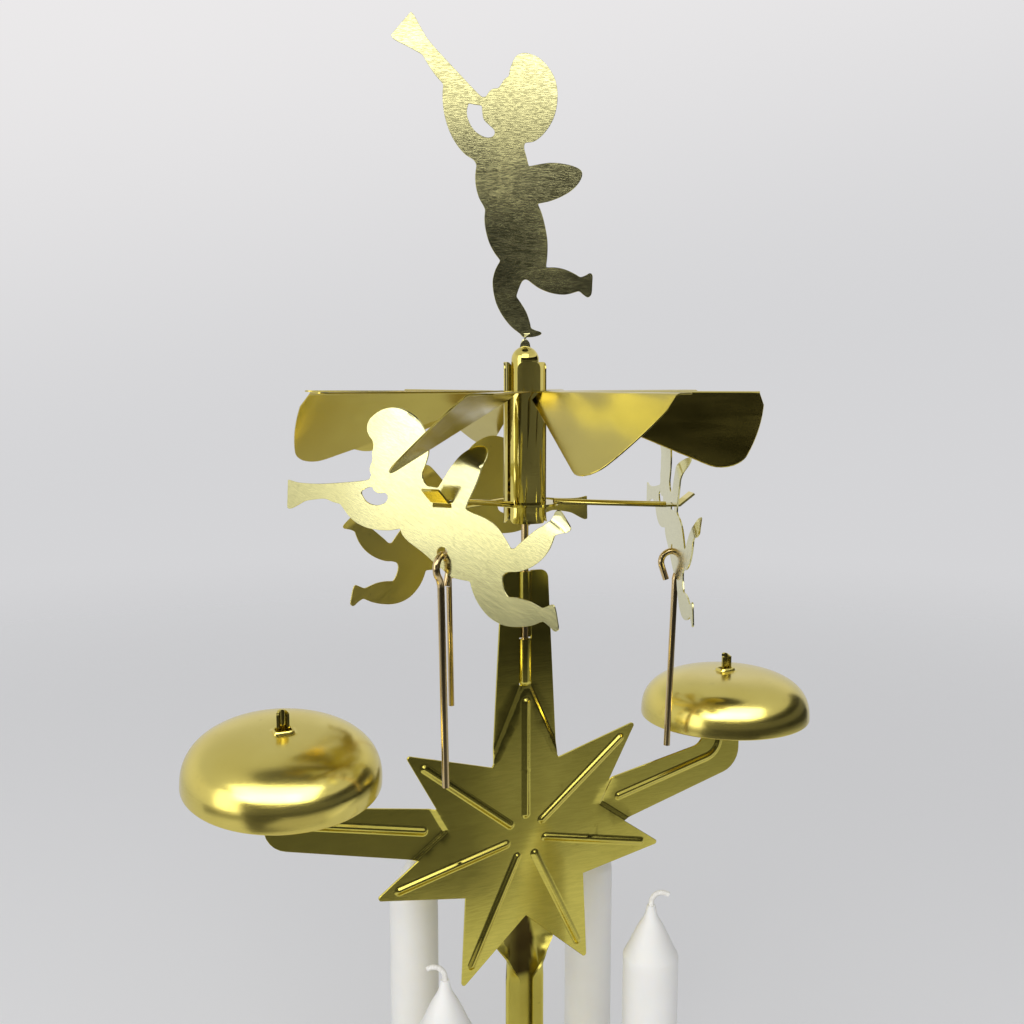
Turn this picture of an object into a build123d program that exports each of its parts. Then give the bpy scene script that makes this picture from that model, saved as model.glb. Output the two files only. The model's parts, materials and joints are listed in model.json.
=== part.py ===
from build123d import *
import os
from math import asin, atan2, cos, degrees, hypot, radians, sin, tan

# Angel chime carousel. Millimetres, +Z up, the star faces -Y, the tray stands on z = 0.
# Azimuths are counted from the front (-Y) towards +X.

# Sheet and wire
sheet = 0.6
thin_sheet = 0.4
fan_sheet = 0.35
wire_r = 0.8
needle_r = 0.9
fit_gap = 0.05
slip_gap = 0.1

# Tray and candle cups
tray_r = 62.0
tray_rim_z = 9.0
tray_floor_r = 46.0
tray_foot_r = 52.0
tray_floor_z = 2.6
bead_r = 1.0
candle_r = 6.5
candle_clear = 0.3
cup_depth = 14.0
cup_ring_r = 34.8
cup_turn = -57.0
rivet_r = 1.2
rivet_head_r = 2.4
rivet_head_h = 0.7

# Candles: lengths over the wax, as the photograph shows their tips
candle_lengths = (94.5, 106.7, 107.0, 104.0)
candle_cone = 12.4
candle_tip_r = 1.0
wick_r = 0.6
wick_out = 5.5
wick_in = 4.0
wick_turns = (-116.0, 64.0, 64.0, 64.0)

# Star and upright
star_z = 120.0
star_r = 40.6
star_top_r = 38.9
notch_r = 21.0
points = 7
tip_round = 0.4
rib_r = 1.0
rib_rise = 0.55
rib_from = 5.6
rib_to = 34.4
groove_r = 0.7
strip_low = 17.0
strip_low_half = 8.9
strip_top = 67.0
strip_top_half = 6.2
strip_round = 2.2
loop_spans = ((57.2, 67.0, -1), (50.3, 57.2, 1), (39.7, 50.3, -1))
loop_slit = 0.3

# Bell arms and bells
bell_x = 60.2
bell_r = 22.4
bell_h = 11.9
bell_apex = 35.3
tab_half = 1.45
tab_top = 40.0
seat_half = 2.6
bell_lean = 9.5
lip_h = 0.8

# Stem: flat at the star, then a pocket, then folded into a floor, two sides and two lips
# Each step holds its height, how far the floor stands back, both fold angles and its growth
stem_top = -21.5
stem_steps = ((-21.5, 0.0, 0, 0, 0.0), (-28.3, 1.2, 30, 0, 0.1), (-29.8, 1.3, 40, 45, 0.3),
              (-31.6, 1.4, 60, 100, 0.6), (-33.6, 1.4, 80, 150, 0.85), (-35.5, 1.4, 90, 180, 1.0))
floor_half = (3.2, 4.85)
side_len = (2.1, 3.0)
lip_len = (2.6, 3.0)
floor_back = 1.4
foot_tab_w = 5.0
foot_tab_l = 5.0

# Rotor
plate_z = 230.3
fan_r = 55.7
fan_turn = 8.2
blades = 8
blade_sweep = 27.8
blade_drop = 41.3
bend_r = 1.6
fan_hub_r = 8.6
strip_w = 4.2
stave_r = 5.15
stave_half = 54.5
tongue_half = 33.0
stave_turn = -14.0
stave_low = 199.0
tongue_top = 237.3
thimble_r = 3.3
thimble_wall = 0.4
thimble_low = 206.0
needle_low = 161.0
needle_top = 240.2
point_gap = 0.4
dome_top = needle_top + point_gap + thimble_wall
carrier_z = 203.5
carrier_r = 8.0
carrier_bore = 2.4
arm_r = 1.05
arm_sheet = 0.5
arm_skirt = 0.25
arm_run = 28.9
arm_turns = (-54.5, 72.5, 187.5)
arm_lift = (3.7, -1.2, -5.1)
angel_yaw = (-1.3, 6.1, 9.0)
angel_pitch = (0.7, 2.3, 2.4)
angel_flip = (0.0, 180.0, 0.0)
angel_scale = 1.025
arm_tab_w = 4.3
arm_tab_out = 4.6
arm_tab_rise = 38.0
hook_at = (-0.2, -11.25)
hook_r = 2.7
hook_hole_r = 1.3
hook_end = 3.7
hook_close = 20.0
hook_leave = 42.0
hook_back_r = 4.0
rod_lens = (51.7, 49.5, 43.0)
top_turn = -26.0
foot_rise = 2.0


def heading(az):
    return Vector(sin(radians(az)), -cos(radians(az)), 0)


def face_of(pts):
    return make_face(Polyline(*pts, close=True))


def rounded(face, corners, radius):
    picked = []
    for x, y in corners:
        picked.append(face.vertices().sort_by_distance((x, y, 0))[0])
    return fillet(picked, radius)


def disc(p, r):
    return Pos(p[0], p[1]) * Circle(r)


def limb(p, rp, q, rq):
    # A tapered limb: two circles and the sheet between their outer tangents
    d = hypot(q[0] - p[0], q[1] - p[1])
    way = degrees(atan2(q[1] - p[1], q[0] - p[0]))
    open_ = degrees(atan2((d * d - (rp - rq) ** 2) ** 0.5, rp - rq))
    pts = []
    for c, r, side in ((p, rp, 1), (q, rq, 1), (q, rq, -1), (p, rp, -1)):
        a = radians(way + side * open_)
        pts.append((c[0] + r * cos(a), c[1] + r * sin(a)))
    return disc(p, rp) + disc(q, rq) + face_of(pts)


def wire(path, r):
    start = Plane(origin=path @ 0, z_dir=path % 0)
    rod = sweep(start * Circle(r), path=path)
    return rod


def ridge(pts, r, y):
    # A round-ended ridge along straight legs, its centre line at depth y
    body = None
    for (x0, z0), (x1, z1) in zip(pts[:-1], pts[1:]):
        length = hypot(x1 - x0, z1 - z0)
        line = Plane(origin=(x0, y, z0), z_dir=(x1 - x0, 0, z1 - z0))
        leg = line * Cylinder(r, length, align=(Align.CENTER, Align.CENTER, Align.MIN))
        leg += Pos(x0, y, z0) * Sphere(r)
        leg += Pos(x1, y, z1) * Sphere(r)
        body = leg if body is None else body + leg
    return body


def arch(r):
    # A half-round pressing over a short straight skirt
    top = ThreePointArc((r, 0), (0, r), (-r, 0))
    return make_face(top + Polyline((-r, 0), (-r, -arm_skirt), (r, -arm_skirt), (r, 0)))


def band(r_out, r_in, half, az):
    # Part of a ring, centred on an azimuth
    def at(r, a):
        v = heading(az + a)
        return (v.X * r, v.Y * r)
    outer = ThreePointArc(at(r_out, -half), at(r_out, 0), at(r_out, half))
    inner = ThreePointArc(at(r_in, half), at(r_in, 0), at(r_in, -half))
    ends = Line(at(r_out, half), at(r_in, half)) + Line(at(r_in, -half), at(r_out, -half))
    return make_face(outer + inner + ends)


def wall_outline(centre, t):
    # Both faces of a bent sheet, mitred along its centre line
    left, right = [], []
    last = len(centre) - 1
    for i, (x, y) in enumerate(centre):
        normals = []
        for a, b in ((i - 1, i), (i, i + 1)):
            if a < 0 or b > last:
                continue
            dx = centre[b][0] - centre[a][0]
            dy = centre[b][1] - centre[a][1]
            n = hypot(dx, dy)
            normals.append((-dy / n, dx / n))
        nx = sum(n[0] for n in normals)
        ny = sum(n[1] for n in normals)
        k = t / 2 * len(normals) / (nx * nx + ny * ny)
        left.append((x + nx * k, y + ny * k))
        right.append((x - nx * k, y - ny * k))
    return left + right[::-1]


os.makedirs("parts", exist_ok=True)
front = Plane.XZ
made = {}

# Tray: one revolved sheet with a raised floor, a foot ring and a rolled rim
floor_low = tray_floor_z - sheet
tray_mid = [(0, tray_floor_z - sheet / 2), (tray_floor_r, tray_floor_z - sheet / 2)]
tray_mid += [(tray_foot_r - 3, sheet / 2), (tray_foot_r + 1, sheet / 2)]
tray_mid += [(tray_r - 3.5, 4.2), (tray_r, tray_rim_z - bead_r)]
tray_face = Plane.XZ * face_of(wall_outline(tray_mid, sheet))
tray = revolve(tray_face, Axis.Z)
tray += Pos(0, 0, tray_rim_z - bead_r) * Torus(tray_r, bead_r)

cup_spots = []
for i in range(4):
    v = heading(cup_turn + 90 * i)
    cup_spots.append((v.X * cup_ring_r, v.Y * cup_ring_r))

# Cups, rivets, candles and wicks
cup_in = candle_r + candle_clear
cup_base = tray_floor_z + 0.5
rivets = None
for i, (x, y) in enumerate(cup_spots):
    cup = Pos(x, y, tray_floor_z) * Cylinder(cup_in + 0.5, cup_depth,
                                             align=(Align.CENTER, Align.CENTER, Align.MIN))
    cup += Pos(x, y, tray_floor_z + cup_depth - 0.4) * Torus(cup_in + 0.75, 0.55)
    cup -= Pos(x, y, cup_base) * Cylinder(cup_in, cup_depth + 2,
                                          align=(Align.CENTER, Align.CENTER, Align.MIN))
    hole = Pos(x, y, tray_floor_z) * Cylinder(rivet_r + fit_gap, 6)
    made[f"candle_cup_{i + 1}"] = cup - hole
    tray -= hole
    rivet = Pos(x, y, floor_low - 0.6) * Cylinder(rivet_r, cup_base + 0.9 - floor_low,
                                                  align=(Align.CENTER, Align.CENTER, Align.MIN))
    rivet += Pos(x, y, cup_base) * Cylinder(rivet_head_r, rivet_head_h,
                                            align=(Align.CENTER, Align.CENTER, Align.MIN))
    rivet += Pos(x, y, floor_low - 0.6) * Cylinder(rivet_head_r, 0.6,
                                                   align=(Align.CENTER, Align.CENTER, Align.MIN))
    rivets = rivet if rivets is None else rivets + rivet

    wax_low = cup_base + rivet_head_h
    wax_top = wax_low + candle_lengths[i]
    shoulder = wax_top - candle_cone
    wax_line = Line((0, wax_low), (candle_r, wax_low)) + Line((candle_r, wax_low), (candle_r, shoulder))
    wax_line += Spline((candle_r, shoulder), (candle_r * 0.82, shoulder + candle_cone * 0.2),
                       (candle_r * 0.55, shoulder + candle_cone * 0.51),
                       (candle_r * 0.27, shoulder + candle_cone * 0.77), (candle_tip_r, wax_top))
    wax_line += Line((candle_tip_r, wax_top), (0, wax_top)) + Line((0, wax_top), (0, wax_low))
    wax = Pos(x, y, 0) * revolve(Plane.XZ * make_face(wax_line), Axis.Z)
    wax -= Pos(x, y, wax_top) * Cylinder(wick_r + fit_gap, 2 * wick_in)
    made[f"candle_{i + 1}"] = wax
    lean = heading(wick_turns[i])
    foot = Vector(x, y, wax_top - wick_in)
    rise = foot + Vector(0, 0, wick_in + 0.6)
    mid = rise + lean * (wick_out * 0.255) + Vector(0, 0, wick_out * 0.42)
    tip = rise + lean * (wick_out * 0.745) + Vector(0, 0, wick_out * 0.365)
    made[f"wick_{i + 1}"] = wire(Line(foot, rise) + ThreePointArc(rise, mid, tip), wick_r)

# Upright: flat blank behind, raised star in front
strip_pts = [(-strip_low_half, strip_low), (-strip_top_half, strip_top)]
strip_pts += [(strip_top_half, strip_top), (strip_low_half, strip_low)]
strip_face = rounded(face_of(strip_pts), [(-strip_top_half, strip_top), (strip_top_half, strip_top)],
                     strip_round)
blank = extrude(front * strip_face, amount=sheet / 2, both=True)

arm_pts = [(16.0, 9.3), (52.6, 15.9), (55.3, 27.0), (bell_x - seat_half, bell_apex - 1.1)]
arm_pts += [(bell_x + seat_half, bell_apex - 1.1), (65.1, 27.0), (65.1, 8.2), (18.0, -3.9)]
arm_face = rounded(face_of(arm_pts), [(52.6, 15.9)], 3.5)
arm_face = rounded(arm_face, [(65.1, 8.2)], 6.5)
arm = extrude(front * arm_face, amount=sheet / 2, both=True)
gutter = Circle(tab_half) - Circle(tab_half - sheet)
gutter &= Pos(0, tab_half) * Rectangle(4 * tab_half, 2 * tab_half)
tab = extrude(Pos(0, -tab_half / 2, 29.0) * gutter, amount=tab_top - 29.0)
slant = Rot(0, -26, 0) * Box(10, 8, 4, align=(Align.CENTER, Align.CENTER, Align.MIN))
tab -= Pos(-tab_half, 0, tab_top - 1.2) * slant
arm_rib_pts = [(27.0, 5.7), (55.4, 12.2), (58.6, 14.4), (bell_x, 18.0), (bell_x, 28.0)]
arm += ridge(arm_rib_pts, rib_r, rib_r - rib_rise - sheet / 2) & Pos(40, -10, 20) * Box(80, 20, 80)
arm -= ridge(arm_rib_pts, groove_r, rib_r - rib_rise + sheet / 2)
blank += arm + mirror(arm, Plane.YZ)
blank += Pos(bell_x, 0, 0) * tab + Pos(-bell_x, 0, 0) * tab

ear_pts = [(-6.3, -16.5), (-7.9, -19.5), (-7.9, stem_top), (7.9, stem_top), (7.9, -19.5), (6.3, -16.5)]
blank += extrude(front * face_of(ear_pts), amount=sheet / 2, both=True)

# The stem folds from the flat ears into a channel that is open at the front
rings = []
for z, back, fold, curl, grow in stem_steps + ((tray_floor_z - star_z, floor_back, 90, 180, 1.0),):
    wide = floor_half[0] + (floor_half[1] - floor_half[0]) * grow
    deep = side_len[0] + (side_len[1] - side_len[0]) * grow
    over = lip_len[0] + (lip_len[1] - lip_len[0]) * grow
    half = [(wide, back)]
    half.append((half[0][0] + deep * cos(radians(fold)), half[0][1] - deep * sin(radians(fold))))
    half.append((half[1][0] + over * cos(radians(curl)), half[1][1] - over * sin(radians(curl))))
    centre = [(-x, y) for x, y in half[::-1]] + half
    rings.append(Pos(0, 0, z) * face_of(wall_outline(centre, sheet)))
for low, high in zip(rings[:-1], rings[1:]):
    blank += loft([low, high], ruled=True)

# Foot tabs go through the tray and turn outwards under it
foot_z = tray_floor_z - star_z
lip_y = floor_back - side_len[1]
lip_mid = floor_half[1] - lip_len[1] / 2
feet = Pos(0, floor_back, foot_z - sheet) * Box(foot_tab_w, sheet, 3 * sheet)
feet += Pos(0, floor_back + foot_tab_l / 2 - sheet / 2, foot_z - sheet - sheet / 2 - slip_gap / 2
            ) * Box(foot_tab_w, foot_tab_l, sheet - slip_gap)
for side in (-1, 1):
    lip_x = side * lip_mid
    feet += Pos(lip_x, lip_y, foot_z - sheet) * Box(2.2, sheet, 3 * sheet)
    feet += Pos(lip_x, lip_y - foot_tab_l / 2 + sheet / 2, foot_z - sheet - sheet / 2 - slip_gap / 2
                ) * Box(2.2, foot_tab_l, sheet - slip_gap)
    tray -= Pos(lip_x, lip_y, tray_floor_z) * Box(2.2 + slip_gap, sheet + slip_gap, 6)
tray -= Pos(0, floor_back, tray_floor_z) * Box(foot_tab_w + slip_gap, sheet + slip_gap, 6)
blank += feet

# Pressed loops hold the needle: forward, backward, forward
for z0, z1, side in loop_spans:
    span = z1 - z0
    mid = (z0 + z1) / 2
    bulge = Pos(0, 0, mid) * Cylinder(needle_r + sheet + 0.1, span - loop_slit)
    bulge &= Pos(0, side * 5, mid) * Box(20, 10, span)
    blank -= Pos(0, 0, mid) * Box(2 * needle_r + sheet, 4, span)
    blank += bulge
taper = Pos(0, 0, loop_spans[2][0]) * Sphere(needle_r + sheet + 0.1)
blank += taper & Pos(0, -5, loop_spans[2][0] - 5) * Box(20, 10, 10)
pin_low = needle_low - star_z
blank -= Pos(0, 0, pin_low) * Cylinder(needle_r + 0.02, 60, align=(Align.CENTER, Align.CENTER, Align.MIN))

# Star
star_pts = []
for i in range(points):
    a = radians(90 - 360 / points * i)
    r = star_top_r if i == 0 else star_r
    star_pts.append((r * cos(a), r * sin(a)))
    b = radians(90 - 360 / points * (i + 0.5))
    star_pts.append((notch_r * cos(b), notch_r * sin(b)))
star_face = rounded(face_of(star_pts), star_pts[0::2], tip_round)
star = extrude(front.offset(sheet / 2) * star_face, amount=sheet)
for i in range(points):
    a = radians(90 - 360 / points * i)
    ends = [(rib_from * cos(a), rib_from * sin(a)), (rib_to * cos(a), rib_to * sin(a))]
    star += ridge(ends, rib_r, rib_r - rib_rise - 1.5 * sheet) & Pos(0, -10.45, 0) * Box(120, 20, 120)
    if i > 0:
        star -= ridge(ends, groove_r, rib_r - rib_rise - sheet / 2)
upright = Pos(0, 0, star_z) * (blank + star)

needle = Pos(0, 0, needle_low) * Cylinder(needle_r, needle_top - needle_low - 4,
                                          align=(Align.CENTER, Align.CENTER, Align.MIN))
needle += Pos(0, 0, needle_top - 4) * Cone(needle_r, 0.15, 4, align=(Align.CENTER, Align.CENTER, Align.MIN))

# Bells: the left one hangs off its centre, so it leans as in the photograph
outer = Spline((0, bell_h), (8.0, bell_h - 0.2), (15.0, bell_h - 1.5), (19.6, bell_h - 4.1), (21.6, 5.0), (bell_r, 0),
               tangents=[(1, 0), (0, -1)])
inner = Spline((bell_r - sheet, 0), (21.0, 4.8), (19.1, bell_h - 4.6), (14.7, bell_h - 2.05), (7.9, bell_h - 0.8),
               (0, bell_h - sheet), tangents=[(0, 1), (-1, 0)])
shell_line = outer + Line((bell_r, 0), (bell_r - sheet, 0)) + inner
shell_line += Line((0, bell_h - sheet), (0, bell_h))
shell = revolve(Plane.XZ * make_face(shell_line), Axis.Z)
lip = extrude(Pos(0, 0, bell_h - 0.4) * RectangleRounded(4.7, 3.5, 1.2), amount=lip_h + 0.4)
slot = RectangleRounded(2 * tab_half + 0.7, 2.3, 0.6)
seat_z = star_z + bell_apex - 1.1
for name, side, lean in (("bell_left", -1, bell_lean), ("bell_right", 1, 0.0)):
    bell = Rot(lean, 0, 0) * shell
    bell = Pos(0, -bell.center(CenterOf.MASS).Y, 0) * bell
    probe = bell & Box(2 * seat_half, sheet, 60)
    low = probe.bounding_box().min.Z
    top = probe.bounding_box().max.Z
    bell += Pos(0, 0, top - bell_h - 0.1) * lip
    bell -= extrude(Pos(0, 0, low - 2) * slot, amount=8)
    made[name] = Pos(side * bell_x, 0, seat_z + slip_gap - low) * bell

# Fan: hub plate, flat spokes, rounded bends and sloping blades
fan = Cylinder(fan_hub_r, fan_sheet)
tip_u = fan_r * cos(radians(blade_sweep))
tip_w = fan_r * sin(radians(blade_sweep))
bend_w = bend_r * sin(radians(blade_drop))
bend_h = bend_r * (1 - cos(radians(blade_drop)))
spoke_face = rounded(face_of([(5.0, 0), (fan_r - 1, 0), (fan_r - 1, strip_w), (8.5, 3.2), (5.0, 3.2)]),
                     [(fan_r - 1, strip_w)], 3.2)
spoke = extrude(spoke_face, amount=fan_sheet / 2, both=True)
mid_arc = radians(blade_sweep / 2)
blade_line = Line((7.2, 0), (fan_r - 1, 0))
blade_line += ThreePointArc((fan_r - 1, 0), (fan_r * cos(mid_arc), fan_r * sin(mid_arc)), (tip_u, tip_w))
blade_line += Line((tip_u, tip_w), (7.2, 2.4)) + Line((7.2, 2.4), (7.2, 0))
blade_face = rounded(make_face(blade_line), [(tip_u, tip_w)], 6.0)
blade = extrude(blade_face, amount=fan_sheet / 2, both=True)
blade = mirror(blade, Plane.XZ)
blade = Pos(0, -bend_w, -bend_h) * Rot(blade_drop, 0, 0) * blade
curl = Circle(bend_r + fan_sheet / 2) - Circle(bend_r - fan_sheet / 2)
curl &= face_of([(0, 0), (0, 9), (9 * tan(radians(blade_drop)), 9)])
curl = Plane(origin=(fan_r - 1, 0, -bend_r), x_dir=(0, -1, 0), z_dir=(-1, 0, 0)) * curl
bend = extrude(curl, amount=fan_r - 1 - 7.2)
one = spoke + blade + bend
for i in range(blades):
    fan += Rot(0, 0, fan_turn - 90 + 360 / blades * i) * one
fan = Pos(0, 0, plate_z) * fan
fan -= Pos(0, 0, plate_z) * Cylinder(thimble_r + 0.02, 4)

# Hub staves, held by slots in the fan and in the carrier
stave_in = stave_r - fan_sheet
carrier = Pos(0, 0, carrier_z) * Cylinder(carrier_r, sheet)
carrier -= Pos(0, 0, carrier_z) * Cylinder(carrier_bore, 4)
for i in range(3):
    az = stave_turn + 120 * i
    low_part = extrude(Pos(0, 0, stave_low) * band(stave_r, stave_in, stave_half, az),
                       amount=plate_z - fan_sheet / 2 - stave_low)
    high_part = extrude(Pos(0, 0, plate_z - 1) * band(stave_r, stave_in, tongue_half, az),
                        amount=tongue_top - plate_z + 1)
    made[f"hub_stave_{i + 1}"] = low_part + high_part
    slot_ring = band(stave_r + fit_gap, stave_in - fit_gap, tongue_half + 0.6, az)
    fan -= extrude(Pos(0, 0, plate_z - 1) * slot_ring, amount=2)
    slot_ring = band(stave_r + fit_gap, stave_in - fit_gap, stave_half + 0.6, az)
    carrier -= extrude(Pos(0, 0, carrier_z - 1) * slot_ring, amount=2)

dome_z = dome_top - thimble_r
skirt_r = stave_in - fit_gap
thimble = Pos(0, 0, thimble_low + 5) * Cylinder(thimble_r, dome_z - thimble_low - 5,
                                                align=(Align.CENTER, Align.CENTER, Align.MIN))
thimble += Pos(0, 0, dome_z) * Sphere(thimble_r)
thimble += Pos(0, 0, thimble_low) * Cone(skirt_r, thimble_r, 5, align=(Align.CENTER, Align.CENTER, Align.MIN))
inside_r = thimble_r - thimble_wall
hollow = Pos(0, 0, thimble_low + 5) * Cylinder(inside_r, dome_z - thimble_low - 5,
                                               align=(Align.CENTER, Align.CENTER, Align.MIN))
hollow += Pos(0, 0, dome_z) * Sphere(inside_r)
hollow += Pos(0, 0, thimble_low - 0.01) * Cone(skirt_r - thimble_wall, inside_r, 5.02,
                                               align=(Align.CENTER, Align.CENTER, Align.MIN))
thimble -= hollow
toe_slot = Rot(0, 0, top_turn) * Box(2.8 + slip_gap, thin_sheet + slip_gap, 4)
thimble -= Pos(0, 0, dome_top) * toe_slot

# Flying angel, flat, facing left, its origin at the slot for the carrier's arm
putto = limb((-5.0, -3.0), 7.9, (6.5, -8.3), 7.6)
putto += disc((-11.2, 12.0), 8.0) + disc((-16.1, 15.8), 3.1) + disc((-14.3, 6.6), 4.0)
putto += limb((-17.2, 7.0), 1.4, (-15.0, 8.5), 2.5)
putto += limb((-8.0, 7.0), 4.6, (-6.0, 1.0), 6.2)
putto += limb((-8.5, -2.0), 4.4, (-17.0, -3.1), 3.5) + limb((-17.0, -3.1), 3.5, (-25.6, 0.5), 1.9)
horn = [(-17.0, 4.6), (-32.0, 3.1), (-38.2, 3.2), (-40.6, 3.7), (-40.9, -3.7), (-36.0, -1.3)]
horn += [(-31.0, -0.3), (-17.0, 1.6)]
putto += face_of(horn)
putto += limb((7.2, -12.0), 6.0, (11.8, -20.3), 4.2) + limb((11.9, -20.4), 4.1, (22.4, -21.4), 1.5)
putto += face_of([(21.0, -22.6), (25.3, -24.8), (26.5, -24.3), (25.7, -19.1), (21.6, -20.0)])
putto += limb((11.5, -10.2), 4.6, (17.2, -9.3), 3.6) + limb((17.2, -9.3), 3.6, (24.3, -3.7), 1.4)
putto += face_of([(22.6, -3.3), (25.4, 0.1), (28.6, -3.8), (25.6, -5.0), (23.2, -6.0)])
putto += limb((1.8, 1.2), 3.6, (6.0, 8.0), 2.9) + limb((6.0, 8.0), 2.9, (8.0, 11.2), 1.6)
putto -= limb((-18.8, 0.7), 1.0, (-15.2, 0.6), 1.2)
putto = scale(putto, angel_scale)
putto -= Pos(0, -0.2) * Rectangle(4.6, 1.7)
putto -= disc((hook_at[0], hook_at[1] + hook_hole_r - wire_r - fit_gap), hook_hole_r)
figure = extrude(putto, amount=thin_sheet / 2, both=True)

# Striker: a wire with a crook, hung so that its weight is below the crook's top
def crook_point(az, r, x, y):
    return (x + r * cos(radians(az)), y + r * sin(radians(az)), 0)


def striker_wire(length):
    start = crook_point(180 + hook_close, hook_r, 0, -hook_r)
    end = (start[0] + hook_end * sin(radians(hook_close)), start[1] - hook_end * cos(radians(hook_close)), 0)
    leave = crook_point(-hook_leave, hook_r, 0, -hook_r)
    back = crook_point(-hook_leave, hook_r + hook_back_r, 0, -hook_r)
    path = Line(end, start) + ThreePointArc(start, (0, 0, 0), leave)
    rod_top = crook_point(180, hook_back_r, back[0], back[1])
    path += ThreePointArc(leave, crook_point(180 - hook_leave / 2, hook_back_r, back[0], back[1]), rod_top)
    path += Line(rod_top, (rod_top[0], -length, 0))
    rod = wire(path, wire_r)
    weight = rod.center(CenterOf.MASS)
    return Rot(0, 0, -degrees(atan2(weight.X, -weight.Y))) * rod


for i in range(3):
    az = arm_turns[i]
    end_z = carrier_z + arm_lift[i]
    slope = degrees(asin(arm_lift[i] / arm_run))
    arm_len = carrier_r + arm_run * cos(radians(slope))
    rail = extrude(Plane.YZ * (arch(arm_r) - arch(arm_r - arm_sheet)), amount=arm_run - 1.0)
    rail = Pos(carrier_r - 1.0, 0, 0) * Rot(0, -slope, 0) * rail
    rail += Pos(arm_len - 1.0, 0, arm_lift[i] + 0.25) * Box(4.4, arm_tab_w, arm_sheet)
    up = Plane(origin=(arm_len + 1.1, 0, arm_lift[i] + 0.25)) * Rot(0, -arm_tab_rise, 0)
    rail += up * Box(arm_tab_out, arm_tab_w, arm_sheet, align=(Align.MIN, Align.CENTER, Align.CENTER))
    carrier += Pos(0, 0, carrier_z) * Rot(0, 0, az - 90) * rail

    out = heading(az) * arm_len
    facing = az - angel_yaw[i] + angel_flip[i]
    spot = Plane(origin=(out.X, out.Y, end_z), x_dir=heading(facing + 90), z_dir=heading(facing))
    turned = spot * Rot(0, 0, angel_pitch[i])
    made[f"flying_angel_{i + 1}"] = turned * figure
    hang = (turned * Pos(hook_at[0], hook_at[1], 0)).position
    hook = Plane(origin=hang, x_dir=heading(az - angel_yaw[i]), z_dir=heading(az - 90 - angel_yaw[i]))
    made[f"striker_{i + 1}"] = hook * striker_wire(rod_lens[i])

# Top angel, flat, its origin at the standing foot
tall = limb((-4.0, 39.0), 7.1, (-2.1, 25.4), 7.2)
tall += disc((0.0, 54.2), 7.7) + disc((0.6, 60.4), 4.4)
tall += limb((-2.0, 53.0), 5.2, (-6.9, 54.7), 2.4) + limb((-1.5, 49.5), 4.6, (-3.5, 42.0), 5.4)
tall += limb((-17.0, 54.8), 2.6, (-14.5, 48.0), 3.3) + limb((-14.5, 48.0), 3.3, (-6.5, 42.6), 4.8)
tall += face_of([(-7.6, 52.6), (-8.4, 56.0), (-21.6, 66.8), (-26.3, 74.0), (-31.0, 68.7), (-23.5, 64.2),
                 (-18.8, 57.4)])
tall += limb((1.2, 35.6), 4.4, (10.9, 36.8), 2.4)
tall += limb((-0.6, 19.0), 5.9, (3.6, 14.0), 3.6) + limb((3.6, 13.8), 3.4, (12.3, 12.6), 1.4)
tall += face_of([(10.8, 11.3), (12.6, 11.1), (14.6, 9.2), (15.7, 15.1), (13.0, 13.9), (11.0, 14.0)])
tall += limb((-2.9, 19.2), 5.4, (-4.4, 11.6), 3.4) + limb((-4.4, 11.6), 3.3, (-1.0, 3.2), 1.5)
tall += face_of([(-2.3, 3.2), (-0.9, 0.3), (3.7, 0.6), (1.4, 2.4), (0.2, 4.2)])
tall -= limb((-11.7, 52.2), 1.5, (-9.7, 48.2), 1.8)
foot_at = dome_top + foot_rise
stand = Plane(origin=(0, 0, foot_at), x_dir=heading(top_turn + 90), z_dir=heading(top_turn))
top_angel = stand * extrude(tall, amount=thin_sheet / 2, both=True)
tab_low = dome_top - thimble_wall
grip = Pos(0, 0, tab_low) * Rot(0, 0, top_turn) * Rectangle(2.6, thin_sheet)
waist = Pos(0, 0, dome_top + 0.4) * Rot(0, 0, top_turn) * Rectangle(2.6, thin_sheet)
turn_1 = Pos(0, 0, dome_top + 1.3) * Rot(0, 0, top_turn + 60) * Rectangle(2.2, thin_sheet)
turn_2 = Pos(0, 0, foot_at + 1.0) * Rot(0, 0, top_turn + 160) * Rectangle(2.4, thin_sheet)
twist = loft([grip, waist], ruled=True) + loft([waist, turn_1], ruled=True) + loft([turn_1, turn_2], ruled=True)
made["top_angel"] = top_angel + twist

made["base_tray"] = tray
made["cup_rivets"] = rivets
made["upright"] = upright
made["needle"] = needle
made["pivot_thimble"] = thimble
made["fan_wheel"] = fan
made["angel_carrier"] = carrier

for name, shape in made.items():
    export_step(shape, f"parts/{name}.step")
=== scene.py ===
# %% [markdown]
# # Angel chime carousel
# Candles warm the air, the bladed wheel turns on a needle point, and the wires that hang
# under the flying angels ring two bells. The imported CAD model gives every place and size.
# This lesson dresses it: thin pressed brass, drawn wire, wax and cotton, in a small studio.

# %% Load the frame
import json
from math import asin, atan2, cos, pi, radians, sin, tan

import bmesh
import bpy
import numpy as np
from mathutils import Matrix, Vector
from mathutils.geometry import delaunay_2d_cdt

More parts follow.
